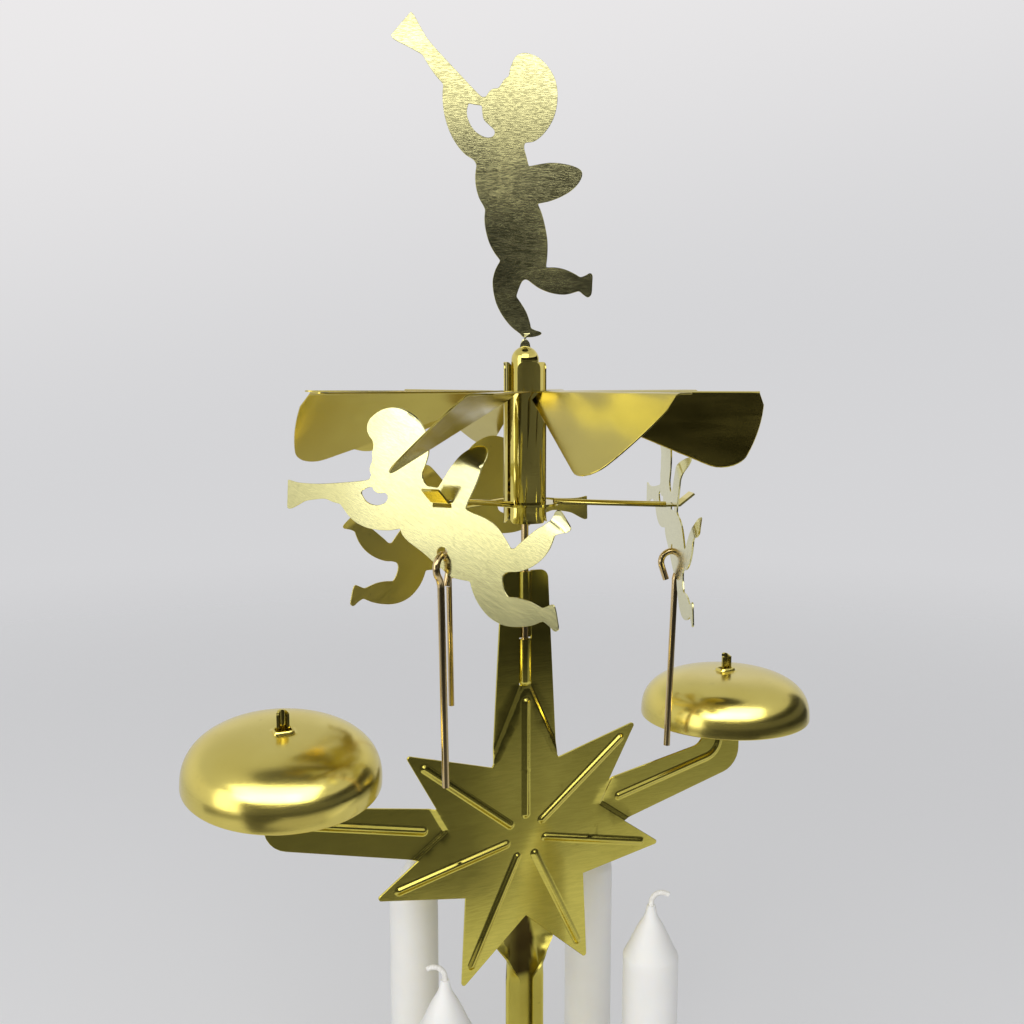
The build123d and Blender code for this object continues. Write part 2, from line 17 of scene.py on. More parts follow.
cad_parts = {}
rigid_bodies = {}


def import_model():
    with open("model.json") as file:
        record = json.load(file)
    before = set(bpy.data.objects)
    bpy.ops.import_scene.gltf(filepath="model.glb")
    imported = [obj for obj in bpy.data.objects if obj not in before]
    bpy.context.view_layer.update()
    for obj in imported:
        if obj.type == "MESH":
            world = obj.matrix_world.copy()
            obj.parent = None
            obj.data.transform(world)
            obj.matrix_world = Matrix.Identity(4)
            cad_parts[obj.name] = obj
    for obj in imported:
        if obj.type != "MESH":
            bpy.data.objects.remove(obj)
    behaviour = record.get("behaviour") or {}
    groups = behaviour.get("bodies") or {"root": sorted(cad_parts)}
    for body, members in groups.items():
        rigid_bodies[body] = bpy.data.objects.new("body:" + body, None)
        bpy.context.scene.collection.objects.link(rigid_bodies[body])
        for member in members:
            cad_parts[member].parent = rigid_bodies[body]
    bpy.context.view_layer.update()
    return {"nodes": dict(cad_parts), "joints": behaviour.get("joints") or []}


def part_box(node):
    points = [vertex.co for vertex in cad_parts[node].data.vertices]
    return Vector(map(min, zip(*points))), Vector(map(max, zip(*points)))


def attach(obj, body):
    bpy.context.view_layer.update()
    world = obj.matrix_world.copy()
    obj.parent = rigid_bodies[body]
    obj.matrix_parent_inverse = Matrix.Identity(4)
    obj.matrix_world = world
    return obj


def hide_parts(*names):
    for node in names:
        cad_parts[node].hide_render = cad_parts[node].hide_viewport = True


for stray in list(bpy.data.objects):
    bpy.data.objects.remove(stray)
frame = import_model()
scene = bpy.context.scene
MM = 0.001
joint_of = {joint["name"]: joint for joint in frame["joints"]}

# %% [markdown]
# ## Camera
# The photograph was taken from close by, a little above the star. The seven points of the
# star gave the place, the direction and the lens, so the camera needs no shift.

# %% Camera
CAMERA_PLACE = (-0.1157, -0.2373, 0.2330)
CAMERA_TILT, CAMERA_HEADING = 83.158, -25.315
SENSOR_WIDTH, LENS, CLIP_START = 36.0, 38.67, 0.01
camera = bpy.data.objects.new("camera", bpy.data.cameras.new("camera"))
scene.collection.objects.link(camera)
camera.location = CAMERA_PLACE
camera.rotation_euler = (radians(CAMERA_TILT), 0, radians(CAMERA_HEADING))
camera.data.sensor_width = SENSOR_WIDTH
camera.data.lens = LENS
camera.data.clip_start = CLIP_START
scene.camera = camera
scene.view_settings.view_transform = "Standard"
print("camera lens", camera.data.lens)

# %% [markdown]
# ## Shader helpers
# Every node tree below is built with a few short functions: one makes a node, one joins two
# sockets, and the rest stand for a sum, a smooth range, a blend of two colours, a new finish
# and a bump.

# %% Shader helpers


def link(tree, start, end):
    tree.links.new(start, end)


def shader_node(tree, kind, **values):
    made = tree.nodes.new(kind)
    for key, value in values.items():
        setattr(made, key, value)
    return made


def feed(tree, socket, value):
    # A socket takes a number or a colour as it is, and anything else as a link
    if isinstance(value, (int, float, tuple)):
        socket.default_value = value
    else:
        link(tree, value, socket)


def maths(tree, operation, first, second):
    made = shader_node(tree, "ShaderNodeMath", operation=operation)
    feed(tree, made.inputs[0], first)
    feed(tree, made.inputs[1], second)
    return made.outputs[0]


def spread(tree, value, low, high, to_low, to_high):
    made = shader_node(tree, "ShaderNodeMapRange", interpolation_type="SMOOTHSTEP")
    labels = ("Value", "From Min", "From Max", "To Min", "To Max")
    for label, number in zip(labels, (value, low, high, to_low, to_high)):
        feed(tree, made.inputs[label], number)
    return made.outputs["Result"]


def blend_colour(tree, factor, first, second):
    # Sockets 0, 6 and 7 of a colour mix are the factor and the two colours
    made = shader_node(tree, "ShaderNodeMix", data_type="RGBA")
    for socket, value in ((0, factor), (6, first), (7, second)):
        feed(tree, made.inputs[socket], value)
    return made.outputs[2]


def new_finish(name):
    # A material with its tree, its shader and its object coordinates
    material = bpy.data.materials.new(name)
    material.use_nodes = True
    tree = material.node_tree
    place = shader_node(tree, "ShaderNodeTexCoord")
    return material, tree, tree.nodes["Principled BSDF"], place.outputs["Object"]


def dent(tree, face, height, strength, depth):
    bump = shader_node(tree, "ShaderNodeBump")
    bump.inputs["Strength"].default_value = strength
    bump.inputs["Distance"].default_value = depth
    link(tree, height, bump.inputs["Height"])
    link(tree, bump.outputs["Normal"], face.inputs["Normal"])


print("shader helpers ready")

# %% [markdown]
# ## Studio
# Bare brass shows its surroundings more than its own colour. The room is pale, and two large
# soft lamps stand in front and on the left. Low black and grey cards in front, a card on the
# floor and one overhead give the brass its dark bands, as they do when a photographer lights
# metal. The cards are seen only by reflections, so they never stand in a picture. Two more
# lamps reach the bells alone: a glare for their white band, and light from the pale table
# under the left one.

# %% World and floor
ROOM_LOW, ROOM_HIGH = (0.66, 0.66, 0.675, 1.0), (0.84, 0.825, 0.83, 1.0)
ROOM_SLANT, ROOM_RISE, ROOM_OVER = 0.2, (-0.12, 0.34), (0.38, 0.6)
FILL_TONE, FILL_STRENGTH = (0.97, 0.98, 1.0, 1.0), 0.42
FLOOR_TONE, FLOOR_ROUGH = (0.74, 0.74, 0.75, 1.0), 0.9
FLOOR_R, FLOOR_FADE = 1.6, (0.35, 1.25)
GLOW_TONE, FLOOR_GLOW = (0.98, 0.98, 1.0, 1.0), 0.16

world = bpy.data.worlds.new("pale room")
scene.world = world
world.use_nodes = True
room = world.node_tree
room.nodes.clear()
room_out = shader_node(room, "ShaderNodeOutputWorld")
room_mix = shader_node(room, "ShaderNodeMixShader")
room_fill = shader_node(room, "ShaderNodeBackground")
room_fill.inputs["Color"].default_value = FILL_TONE
room_fill.inputs["Strength"].default_value = FILL_STRENGTH
room_seen = shader_node(room, "ShaderNodeBackground")
rays = shader_node(room, "ShaderNodeLightPath")
seen = maths(room, "MAXIMUM", rays.outputs["Is Camera Ray"], rays.outputs["Is Glossy Ray"])
seen = maths(room, "MAXIMUM", seen, rays.outputs["Is Transmission Ray"])
link(room, seen, room_mix.inputs[0])
link(room, room_fill.outputs[0], room_mix.inputs[1])
link(room, room_seen.outputs[0], room_mix.inputs[2])
link(room, room_mix.outputs[0], room_out.inputs["Surface"])

# The wall brightens upwards on a slant and darkens again overhead
way = shader_node(room, "ShaderNodeTexCoord")
split = shader_node(room, "ShaderNodeSeparateXYZ")
link(room, way.outputs["Generated"], split.inputs[0])
sideways = maths(room, "MULTIPLY", split.outputs["X"], ROOM_SLANT)
slant = maths(room, "SUBTRACT", split.outputs["Z"], sideways)
wall = blend_colour(room, spread(room, slant, *ROOM_RISE, 0.0, 1.0), ROOM_LOW, ROOM_HIGH)
over = spread(room, split.outputs["Z"], *ROOM_OVER, 0.0, 1.0)
link(room, blend_colour(room, over, wall, ROOM_LOW), room_seen.inputs["Color"])

floor_mesh = bpy.data.meshes.new("floor")
floor_maker = bmesh.new()
bmesh.ops.create_circle(floor_maker, cap_ends=True, segments=64, radius=FLOOR_R)
floor_maker.to_mesh(floor_mesh)
floor_maker.free()
floor = bpy.data.objects.new("floor", floor_mesh)
scene.collection.objects.link(floor)

cloth, weave, cloth_face, cloth_place = new_finish("pale cloth floor")
cloth_face.inputs["Base Color"].default_value = FLOOR_TONE
cloth_face.inputs["Roughness"].default_value = FLOOR_ROUGH
cloth_face.inputs["Emission Color"].default_value = GLOW_TONE
floor_rays = shader_node(weave, "ShaderNodeLightPath")
glow = maths(weave, "MAXIMUM", floor_rays.outputs["Is Camera Ray"], floor_rays.outputs["Is Glossy Ray"])
link(weave, maths(weave, "MULTIPLY", glow, FLOOR_GLOW), cloth_face.inputs["Emission Strength"])
reach = shader_node(weave, "ShaderNodeVectorMath", operation="LENGTH")
link(weave, cloth_place, reach.inputs[0])
fade = spread(weave, reach.outputs["Value"], *FLOOR_FADE, 1.0, 0.0)
link(weave, fade, cloth_face.inputs["Alpha"])
floor_mesh.materials.append(cloth)
print("room and floor ready")

# %% Lamps and cards
FRONT_WHITE, SIDE_WHITE = (1.0, 0.985, 0.96), (1.0, 0.99, 0.97)
MIDDLE = (0, 0, 0.2)
CARD_LOW, CARD_BEND, CARD_TOP, CARD_FAR = 0.002, 0.16, 0.44, 0.6
CARD_BLACK, CARD_GREY, CARD_WARM = 0.012, 0.2, 0.96
CARD_STEP = 6
# How near the low cards come, by azimuth
NEAR_AZIMUTHS, NEAR_EDGES = (16, 24, 34, 50), (0.20, 0.21, 0.28, 0.38)
OVERHEAD_SIDES, OVERHEAD_R, OVERHEAD_Z = 24, 0.34, 1.2


def at(azimuth, distance, height):
    # Azimuths are counted from the front (-Y) towards +X
    return (sin(radians(azimuth)) * distance, -cos(radians(azimuth)) * distance, height)


def lamp(name, place, aim, size, watts, colour):
    data = bpy.data.lights.new(name, "AREA")
    data.shape = "RECTANGLE"
    data.size, data.size_y = size
    data.energy = watts
    data.color = colour
    lit = bpy.data.objects.new(name, data)
    scene.collection.objects.link(lit)
    lit.location = place
    lit.rotation_euler = (Vector(aim) - Vector(place)).to_track_quat("-Z", "Y").to_euler()
    return lit


lamp("front window", at(-24, 1.3, 1.08), MIDDLE, (1.5, 1.15), 9.4, FRONT_WHITE)
lamp("left window", at(-68.5, 1.1, 0.475), MIDDLE, (0.86, 0.90), 4.5, SIDE_WHITE)
# A wide glare that only polished faces see, for the white band on the bells
glare = lamp("window glare", at(-22, 1.01, 1.40), MIDDLE, (2.5, 1.27), 42.0, SIDE_WHITE)
under = lamp("pale table under the left bell", at(22, 0.32, 0.07), at(22, 0.32, 1.0), (0.52, 0.36), 0.26,
             SIDE_WHITE)
glared = bpy.data.collections.new("pieces in the glare")
lit_below = bpy.data.collections.new("pieces lit from below")
for lit, pieces in ((glare, glared), (under, lit_below)):
    lit.light_linking.receiver_collection = pieces
    lit.visible_diffuse = False
    lit.visible_transmission = False


def card_finish(name, low, top):
    # A matt card whose tone changes with height: pale, black, grey behind the angels, black
    finish, tree, face, place = new_finish(name)
    face.inputs["Roughness"].default_value = 1.0
    split = shader_node(tree, "ShaderNodeSeparateXYZ")
    ramp = shader_node(tree, "ShaderNodeValToRGB")
    stops = ((0.025, low), (top, CARD_BLACK), (0.12, CARD_BLACK), (0.15, CARD_GREY), (0.25, CARD_GREY),
             (0.28, CARD_BLACK))
    while len(ramp.color_ramp.elements) < len(stops):
        ramp.color_ramp.elements.new(0.5)
    for stop, (height, tone) in zip(ramp.color_ramp.elements, stops):
        stop.position = height / CARD_TOP
        stop.color = (tone, tone, tone * CARD_WARM, 1.0)
    link(tree, place, split.inputs[0])
    link(tree, maths(tree, "DIVIDE", split.outputs["Z"], CARD_TOP), ramp.inputs["Fac"])
    link(tree, ramp.outputs["Color"], face.inputs["Base Color"])
    return finish


black = card_finish("black card", 0.17, 0.062)
grey = card_finish("grey card", 0.56, 0.066)


def card(name, corners, faces, finish=black):
    mesh = bpy.data.meshes.new(name)
    mesh.from_pydata(corners, [], faces)
    mesh.materials.append(finish)
    made = bpy.data.objects.new(name, mesh)
    scene.collection.objects.link(made)
    made.visible_camera = False
    made.visible_diffuse = False
    made.visible_shadow = False
    made.visible_transmission = False


def low_card(name, first, last, finish):
    turns = np.arange(first, last + 1, CARD_STEP)
    corners, faces = [], []
    for turn in turns:
        near = float(np.interp(turn, NEAR_AZIMUTHS, NEAR_EDGES))
        corners += [at(turn, near, CARD_LOW), at(turn, CARD_FAR, CARD_BEND), at(turn, CARD_FAR, CARD_TOP)]
    for i in range(0, len(corners) - 3, 3):
        faces += [(k, k + 3, k + 4, k + 1) for k in (i, i + 1)]
    card(name, corners, faces, finish)


low_card("black low card", -62, 22, black)
low_card("grey low card", 22, 106, grey)
floor_card = [at(turn, far, 0.003) for turn in range(-104, -60, CARD_STEP) for far in (0.45, 0.98)]
card("floor card", floor_card, [(i, i + 2, i + 3, i + 1) for i in range(0, len(floor_card) - 2, 2)])
overhead = [at(360 / OVERHEAD_SIDES * i, OVERHEAD_R, OVERHEAD_Z) for i in range(OVERHEAD_SIDES)]
card("overhead card", overhead, [tuple(range(OVERHEAD_SIDES))])
print("studio: floor, 4 lamps, 4 cards")

# %% [markdown]
# ## Finishes
# All the brass comes off the roll with a fine grain, so the grain is one node group that
# every brass uses at its own scale. A second group gives the slow change of tone that
# handling and lacquer leave. Colour, roughness and bump read them; numbers that are the same
# all over stay on the shader's own sockets. Brushed sheets also show dark hair lines, and the
# stem gets painted shade, a dark brown, in the recess under the star where the mesh carries it.

# %% Shared groups
FLAT_GRAIN, FINE_GRAIN = (250.0, 250.0, 2400.0), (800.0, 800.0, 5600.0)
WIRE_GRAIN, COTTON_GRAIN = (900.0, 900.0, 120.0), (2600.0, 2600.0, 900.0)
STREAK_SCALE, CLOUD_SCALE, SPECK_SCALE = 0.23, 46.0, 620.0
GRAIN_RANGE, CLOUD_RANGE, SPECK_RANGE = (0.3, 0.7), (0.35, 0.7), (0.66, 0.78)


def effect_group(name, inputs, outputs):
    group = bpy.data.node_groups.new(name, "ShaderNodeTree")
    for label, kind, value in inputs:
        socket = group.interface.new_socket(label, in_out="INPUT", socket_type=kind)
        if value is not None:
            socket.default_value = value
    for label, kind in outputs:
        group.interface.new_socket(label, in_out="OUTPUT", socket_type=kind)
    return group, group.nodes.new("NodeGroupInput"), group.nodes.new("NodeGroupOutput")


def noise(tree, vector, scale, detail):
    made = shader_node(tree, "ShaderNodeTexNoise")
    made.inputs["Scale"].default_value = scale
    made.inputs["Detail"].default_value = detail
    link(tree, vector, made.inputs["Vector"])
    return made.outputs["Fac"]


rolled, rolled_in, rolled_out = effect_group(
    "rolled grain",
    [("Vector", "NodeSocketVector", None), ("Scale", "NodeSocketVector", FLAT_GRAIN)],
    [("Grain", "NodeSocketFloat"), ("Streak", "NodeSocketFloat")],
)
stretched = shader_node(rolled, "ShaderNodeVectorMath", operation="MULTIPLY")
link(rolled, rolled_in.outputs["Vector"], stretched.inputs[0])
link(rolled, rolled_in.outputs["Scale"], stretched.inputs[1])
fine = noise(rolled, stretched.outputs[0], 1.0, 3.0)
broad = noise(rolled, stretched.outputs[0], STREAK_SCALE, 2.0)
link(rolled, spread(rolled, fine, *GRAIN_RANGE, 0.0, 1.0), rolled_out.inputs["Grain"])
link(rolled, spread(rolled, broad, *GRAIN_RANGE, 0.0, 1.0), rolled_out.inputs["Streak"])

handled, handled_in, handled_out = effect_group(
    "handling marks",
    [("Vector", "NodeSocketVector", None)],
    [("Cloud", "NodeSocketFloat"), ("Speck", "NodeSocketFloat")],
)
cloud = noise(handled, handled_in.outputs["Vector"], CLOUD_SCALE, 3.0)
speck = noise(handled, handled_in.outputs["Vector"], SPECK_SCALE, 2.0)
link(handled, spread(handled, cloud, *CLOUD_RANGE, 0.0, 1.0), handled_out.inputs["Cloud"])
link(handled, spread(handled, speck, *SPECK_RANGE, 0.0, 1.0), handled_out.inputs["Speck"])
print("shared groups:", rolled.name, "and", handled.name)

# %% Brass finishes
COAT, COAT_ROUGH, BRUSH_DEPTH = 0.06, 0.12, 0.00003
SPECK_SHARE, SPECK_TONE, HAIR_TONE, HAIR_RANGE = 0.25, 0.55, 0.3, (0.38, 0.68)
# How the cloud breaks up the painted shade in the stem's recess
SHADE_PATCHES = (0.92, 1.0)
# Shares of the roughness that follow the streaks and the cloud, and that stay even
STREAKED, CLOUDED, EVEN = 0.2, 0.3, 0.7


def group_node(tree, group, place):
    made = tree.nodes.new("ShaderNodeGroup")
    made.node_tree = group
    link(tree, place, made.inputs["Vector"])
    return made


def darker(colour, share):
    return tuple(channel * share for channel in colour[:3]) + (1.0,)


def brass(name, tones, rough, grain_scale, bump, turn=0, painted_shade=None, lines=0.0):
    clean, aged = tones
    material, tree, face, place = new_finish(name)
    face.inputs["Metallic"].default_value = 1.0
    face.inputs["Coat Weight"].default_value = COAT
    face.inputs["Coat Roughness"].default_value = COAT_ROUGH
    aim = shader_node(tree, "ShaderNodeMapping")
    aim.inputs["Rotation"].default_value = (0, radians(turn), 0)
    link(tree, place, aim.inputs["Vector"])
    grain = group_node(tree, rolled, aim.outputs["Vector"])
    grain.inputs["Scale"].default_value = grain_scale
    marks = group_node(tree, handled, place)
    cloud = marks.outputs["Cloud"]
    toned = blend_colour(tree, cloud, clean, aged)
    specks = spread(tree, marks.outputs["Speck"], 0.0, 1.0, 0.0, SPECK_SHARE)
    toned = blend_colour(tree, specks, toned, darker(aged, SPECK_TONE))
    if lines:
        # Brushing leaves dark hair lines that the brightest glare hides
        hair = spread(tree, grain.outputs["Grain"], *HAIR_RANGE, 0.0, lines)
        toned = blend_colour(tree, hair, toned, darker(aged, HAIR_TONE))
    if painted_shade:
        # Painted shade: the mesh says where the recess in the fold is darkened
        pocket_shade = shader_node(tree, "ShaderNodeAttribute", attribute_name="pocket_shade")
        patches = spread(tree, cloud, 0.0, 1.0, *SHADE_PATCHES)
        patchy = maths(tree, "MULTIPLY", pocket_shade.outputs["Fac"], patches)
        toned = blend_colour(tree, patchy, toned, painted_shade)
    link(tree, toned, face.inputs["Base Color"])
    uneven = maths(tree, "ADD", maths(tree, "MULTIPLY", grain.outputs["Streak"], rough * STREAKED),
                   maths(tree, "MULTIPLY", cloud, rough * CLOUDED))
    link(tree, maths(tree, "ADD", uneven, rough * EVEN), face.inputs["Roughness"])
    dent(tree, face, grain.outputs["Grain"], bump, BRUSH_DEPTH)
    return material


STAR_TONES = (0.70, 0.61, 0.125, 1.0), (0.64, 0.555, 0.105, 1.0)
ANGEL_TONES = (0.80, 0.765, 0.385, 1.0), (0.75, 0.71, 0.335, 1.0)
DULL_TONES = (0.74, 0.64, 0.18, 1.0), (0.68, 0.58, 0.15, 1.0)
BELL_TONES = (0.73, 0.62, 0.17, 1.0), (0.68, 0.565, 0.135, 1.0)
FAN_TONES = (0.61, 0.505, 0.105, 1.0), (0.57, 0.465, 0.095, 1.0)
HUB_TONES = (0.74, 0.63, 0.17, 1.0), (0.68, 0.57, 0.14, 1.0)
WIRE_TONES = (0.72, 0.56, 0.30, 1.0), (0.64, 0.48, 0.23, 1.0)
TRAY_TONES = (0.72, 0.62, 0.15, 1.0), (0.66, 0.56, 0.12, 1.0)
# Dark brown painted shade for the recess in the fold under the star
POCKET_SHADE_TONE = (0.045, 0.026, 0.007, 1.0)
star_brass = brass("pressed star brass", STAR_TONES, 0.17, FLAT_GRAIN, 0.06, lines=0.1)
# The stem's brass carries painted shade in the recess under the star
stem_brass = brass("folded stem brass", STAR_TONES, 0.40, FLAT_GRAIN, 0.05, painted_shade=POCKET_SHADE_TONE)
angel_brass = brass("brushed angel brass", ANGEL_TONES, 0.20, FINE_GRAIN, 0.10, lines=0.62)
flyer_brass = brass("brushed flyer brass", ANGEL_TONES, 0.17, FINE_GRAIN, 0.05, turn=-38, lines=0.14)
dull_flyer_brass = brass("dull flyer brass", DULL_TONES, 0.42, FINE_GRAIN, 0.16, turn=38)
bell_brass = brass("spun bell brass", BELL_TONES, 0.22, FLAT_GRAIN, 0.10)
fan_brass = brass("polished fan brass", FAN_TONES, 0.21, FLAT_GRAIN, 0.015)
hub_brass = brass("polished hub brass", HUB_TONES, 0.09, FLAT_GRAIN, 0.03)
wire_brass = brass("red brass wire", WIRE_TONES, 0.16, WIRE_GRAIN, 0.10)
tray_brass = brass("drawn tray brass", TRAY_TONES, 0.25, FLAT_GRAIN, 0.1)
print("brass finishes ready")

# %% Wax and cotton
WAX_TONES = (0.90, 0.895, 0.875, 1.0), (0.86, 0.855, 0.83, 1.0)
WAX_ROUGH, WAX_BUMP, WAX_DENT = (0.36, 0.52), 0.25, 0.0002
SCATTER, SCATTER_TONE, SCATTER_DEPTH = 0.4, (1.0, 0.9, 0.75), 0.002
COTTON_ROUGH, COTTON_BUMP, COTTON_DENT = 0.8, 0.6, 0.0001
COTTON_TONES = (0.78, 0.76, 0.70, 1.0), (0.93, 0.92, 0.88, 1.0)
wax, wax_tree, wax_face, wax_place = new_finish("white wax")
wax_cloud = group_node(wax_tree, handled, wax_place).outputs["Cloud"]
link(wax_tree, blend_colour(wax_tree, wax_cloud, *WAX_TONES), wax_face.inputs["Base Color"])
link(wax_tree, spread(wax_tree, wax_cloud, 0.0, 1.0, *WAX_ROUGH), wax_face.inputs["Roughness"])
wax_face.inputs["Subsurface Weight"].default_value = SCATTER
wax_face.inputs["Subsurface Radius"].default_value = SCATTER_TONE
wax_face.inputs["Subsurface Scale"].default_value = SCATTER_DEPTH
dent(wax_tree, wax_face, wax_cloud, WAX_BUMP, WAX_DENT)

cotton, cotton_tree, cotton_face, cotton_place = new_finish("waxed cotton wick")
cotton_face.inputs["Roughness"].default_value = COTTON_ROUGH
cotton_grain = group_node(cotton_tree, rolled, cotton_place)
cotton_grain.inputs["Scale"].default_value = COTTON_GRAIN
twist = cotton_grain.outputs["Grain"]
link(cotton_tree, blend_colour(cotton_tree, twist, *COTTON_TONES), cotton_face.inputs["Base Color"])
dent(cotton_tree, cotton_face, twist, COTTON_BUMP, COTTON_DENT)
print("wax and cotton ready")

# %% [markdown]
# ## Sheet metal helpers
# Nearly every brass piece here is a stamped sheet: an outline, sometimes with holes, pressed
# or bent, about half a millimetre thick. One set of helpers fills an outline with triangles,
# lifts pressed beads out of it, bends it and gives it thickness with a small worn edge. Two
# more join sections of folded sheet and stacks of rings.

# %% Outlines
# Longest piece of an outline's edge, and how far extra rows keep from it, in millimetres
EDGE_STEP, ROW_CLEAR = 0.7, 0.12
# The net's row height, and how far it keeps from outlines and from rows, as shares of its spacing
NET_ROW, NET_CLEAR, NET_FROM_ROWS = 0.87, 0.45, 0.5
TINY = 1e-9


def soften(points, radius, steps=6):
    # Rounds the corners of a closed outline; radius is a number or a table by corner
    smooth = []
    count = len(points)
    for i, corner in enumerate(points):
        wanted = radius.get(i, 0) if isinstance(radius, dict) else radius
        if not wanted:
            smooth.append(tuple(corner))
            continue
        middle = Vector(corner)
        back = Vector(points[i - 1]) - middle
        ahead = Vector(points[(i + 1) % count]) - middle
        half = back.angle(ahead) / 2
        reach = min(wanted / tan(half), 0.48 * back.length, 0.48 * ahead.length)
        start = middle + back.normalized() * reach
        end = middle + ahead.normalized() * reach
        for k in range(steps + 1):
            t = k / steps
            weights = ((1 - t) ** 2, 2 * sin(half) * t * (1 - t), t * t)
            point = start * weights[0] + middle * weights[1] + end * weights[2]
            smooth.append(tuple(point / sum(weights)))
    return smooth


def disc_loop(centre, radius, count=40):
    turns = [2 * pi * i / count for i in range(count)]
    return [(centre[0] + radius * cos(a), centre[1] + radius * sin(a)) for a in turns]


def in_loop(points, loop):
    inside = np.zeros(len(points), bool)
    x, y = points[:, 0], points[:, 1]
    ax, ay = loop[-1]
    for bx, by in loop:
        if ay != by:
            inside ^= ((ay > y) != (by > y)) & (x < (bx - ax) * (y - ay) / (by - ay) + ax)
        ax, ay = bx, by
    return inside


def distance_to(points, path):
    best = np.full(len(points), 1e9)
    for a, b in zip(path[:-1], path[1:]):
        run = np.subtract(b, a)
        t = np.clip((points - a) @ run / max(run @ run, 1e-12), 0, 1)
        best = np.minimum(best, np.linalg.norm(points - a - np.outer(t, run), axis=1))
    return best


def inside_all(points, solids, holes):
    kept = np.zeros(len(points), bool)
    for loop in solids:
        kept |= in_loop(points, loop)
    for loop in holes:
        kept &= ~in_loop(points, loop)
    return kept


def split_edges(loop, longest):
    ring = []
    for a, b in zip(loop, list(loop[1:]) + [loop[0]]):
        run = (b[0] - a[0], b[1] - a[1])
        parts = max(1, int(np.ceil(np.hypot(*run) / longest)))
        ring += [(a[0] + run[0] * i / parts, a[1] + run[1] * i / parts) for i in range(parts)]
    return ring


def closed(loop):
    return list(loop) + [loop[0]]


def fill(solids, holes=(), spacing=2.0, rows=()):
    # Triangles inside the joined outlines, with an even net of points and any extra rows
    loops = list(solids) + list(holes)
    points, edges = [], []
    for k, loop in enumerate(loops):
        ring = split_edges(loop, EDGE_STEP)
        # Later outlines lose their lines where they run inside an earlier sheet
        earlier = solids[:k] if k < len(solids) else ()
        hidden = inside_all(np.array(ring), earlier, ())
        first = len(points)
        points += ring
        for i in range(len(ring)):
            ahead = (i + 1) % len(ring)
            if not (hidden[i] and hidden[ahead]):
                edges.append((first + i, first + ahead))
    corners = np.array(points)
    low, high = corners.min(axis=0), corners.max(axis=0)
    net = []
    for j, y in enumerate(np.arange(low[1], high[1], spacing * NET_ROW)):
        for x in np.arange(low[0] + spacing / 2 * (j % 2), high[0], spacing):
            net.append((x, y))
    net = np.array(net)
    keep = inside_all(net, solids, holes)
    for loop in loops:
        keep &= distance_to(net, closed(loop)) > spacing * NET_CLEAR
    if len(rows):
        rows = np.array(rows)
        rows = rows[inside_all(rows, solids, holes)]
        for loop in loops:
            rows = rows[distance_to(rows, closed(loop)) > ROW_CLEAR]
        for i in np.flatnonzero(keep):
            keep[i] = np.min(np.sum((rows - net[i]) ** 2, axis=1)) > (spacing * NET_FROM_ROWS) ** 2
        points += [tuple(p) for p in rows]
    points += [tuple(p) for p in net[keep]]
    solved = delaunay_2d_cdt([Vector(p) for p in points], edges, [], 0, 1e-5)
    flat = np.array([tuple(p) for p in solved[0]])
    faces = np.array(solved[2])
    middles = flat[faces].mean(axis=1)
    faces = faces[inside_all(middles, solids, holes)]
    a, b, c = flat[faces[:, 0]], flat[faces[:, 1]], flat[faces[:, 2]]
    area = np.cross(b - a, c - a)
    faces = np.where((area < 0)[:, None], faces[:, ::-1], faces)[np.abs(area) > 1e-7]
    used = np.unique(faces)
    number = np.full(len(flat), -1)
    number[used] = np.arange(len(used))
    return flat[used], number[faces]


def rim_of(faces):
    # Directed edges that belong to one triangle only
    edges = dict.fromkeys(edge for a, b, c in faces for edge in ((a, b), (b, c), (c, a)))
    return [edge for edge in edges if (edge[1], edge[0]) not in edges]


def drawn_loop(points, step=0.35, blur=0.22):
    # A closed curve through points; a third value marks a corner, eased as a punch leaves it
    dense = []
    count = len(points)
    for i in range(count):
        p, q = np.array(points[i][:2]), np.array(points[(i + 1) % count][:2])
        before = p if len(points[i]) > 2 else np.array(points[i - 1][:2])
        after = q if len(points[(i + 1) % count]) > 2 else np.array(points[(i + 2) % count][:2])
        span = np.linalg.norm(q - p)
        leave = (q - before) / max(span + np.linalg.norm(p - before), TINY) * span
        arrive = (after - p) / max(span + np.linalg.norm(after - q), TINY) * span
        for t in np.linspace(0, 1, 9)[:-1]:
            dense.append(p * (2 * t ** 3 - 3 * t * t + 1) + leave * (t ** 3 - 2 * t * t + t)
                         + q * (3 * t * t - 2 * t ** 3) + arrive * (t ** 3 - t * t))
    ring = np.array(closed(dense))
    along = np.concatenate([[0], np.cumsum(np.linalg.norm(np.diff(ring, axis=0), axis=1))])
    count = max(16, int(along[-1] / step))
    stops = np.linspace(0, along[-1], count, endpoint=False)
    even = np.stack([np.interp(stops, along, ring[:, k]) for k in (0, 1)], axis=1)
    reach = np.arange(-4, 5)
    weights = np.exp(-0.5 * (reach * along[-1] / count / blur) ** 2)
    eased = sum(w * np.roll(even, -r, axis=0) for w, r in zip(weights, reach)) / weights.sum()
    return [tuple(p) for p in eased]


print("outline helpers ready")

# %% Pressing and bending
BEAD_HALF, BEAD_STEP = 1.2, 0.7
BEAD_OFFSETS = (0.2, 0.4, 0.6, 0.8, 1.0, 1.2, 1.35)


def bead_rows(path):
    # Rows of points along a bead, close together over its round back
    rows = []
    for a, b in zip(path[:-1], path[1:]):
        a, b = np.array(a), np.array(b)
        length = np.linalg.norm(b - a)
        way = (b - a) / length
        side = np.array([-way[1], way[0]])
        for s in np.arange(0, length + 1e-6, length / max(1, round(length / BEAD_STEP))):
            rows.append(a + way * s)
            for off in BEAD_OFFSETS:
                rows += [a + way * s + side * off, a + way * s - side * off]
    for end, back in ((path[0], path[1]), (path[-1], path[-2])):
        out = atan2(end[1] - back[1], end[0] - back[0])
        for off in BEAD_OFFSETS:
            for turn in out + np.radians(np.arange(-75, 76, 25)):
                rows.append(np.array([end[0] + off * cos(turn), end[1] + off * sin(turn)]))
    return rows


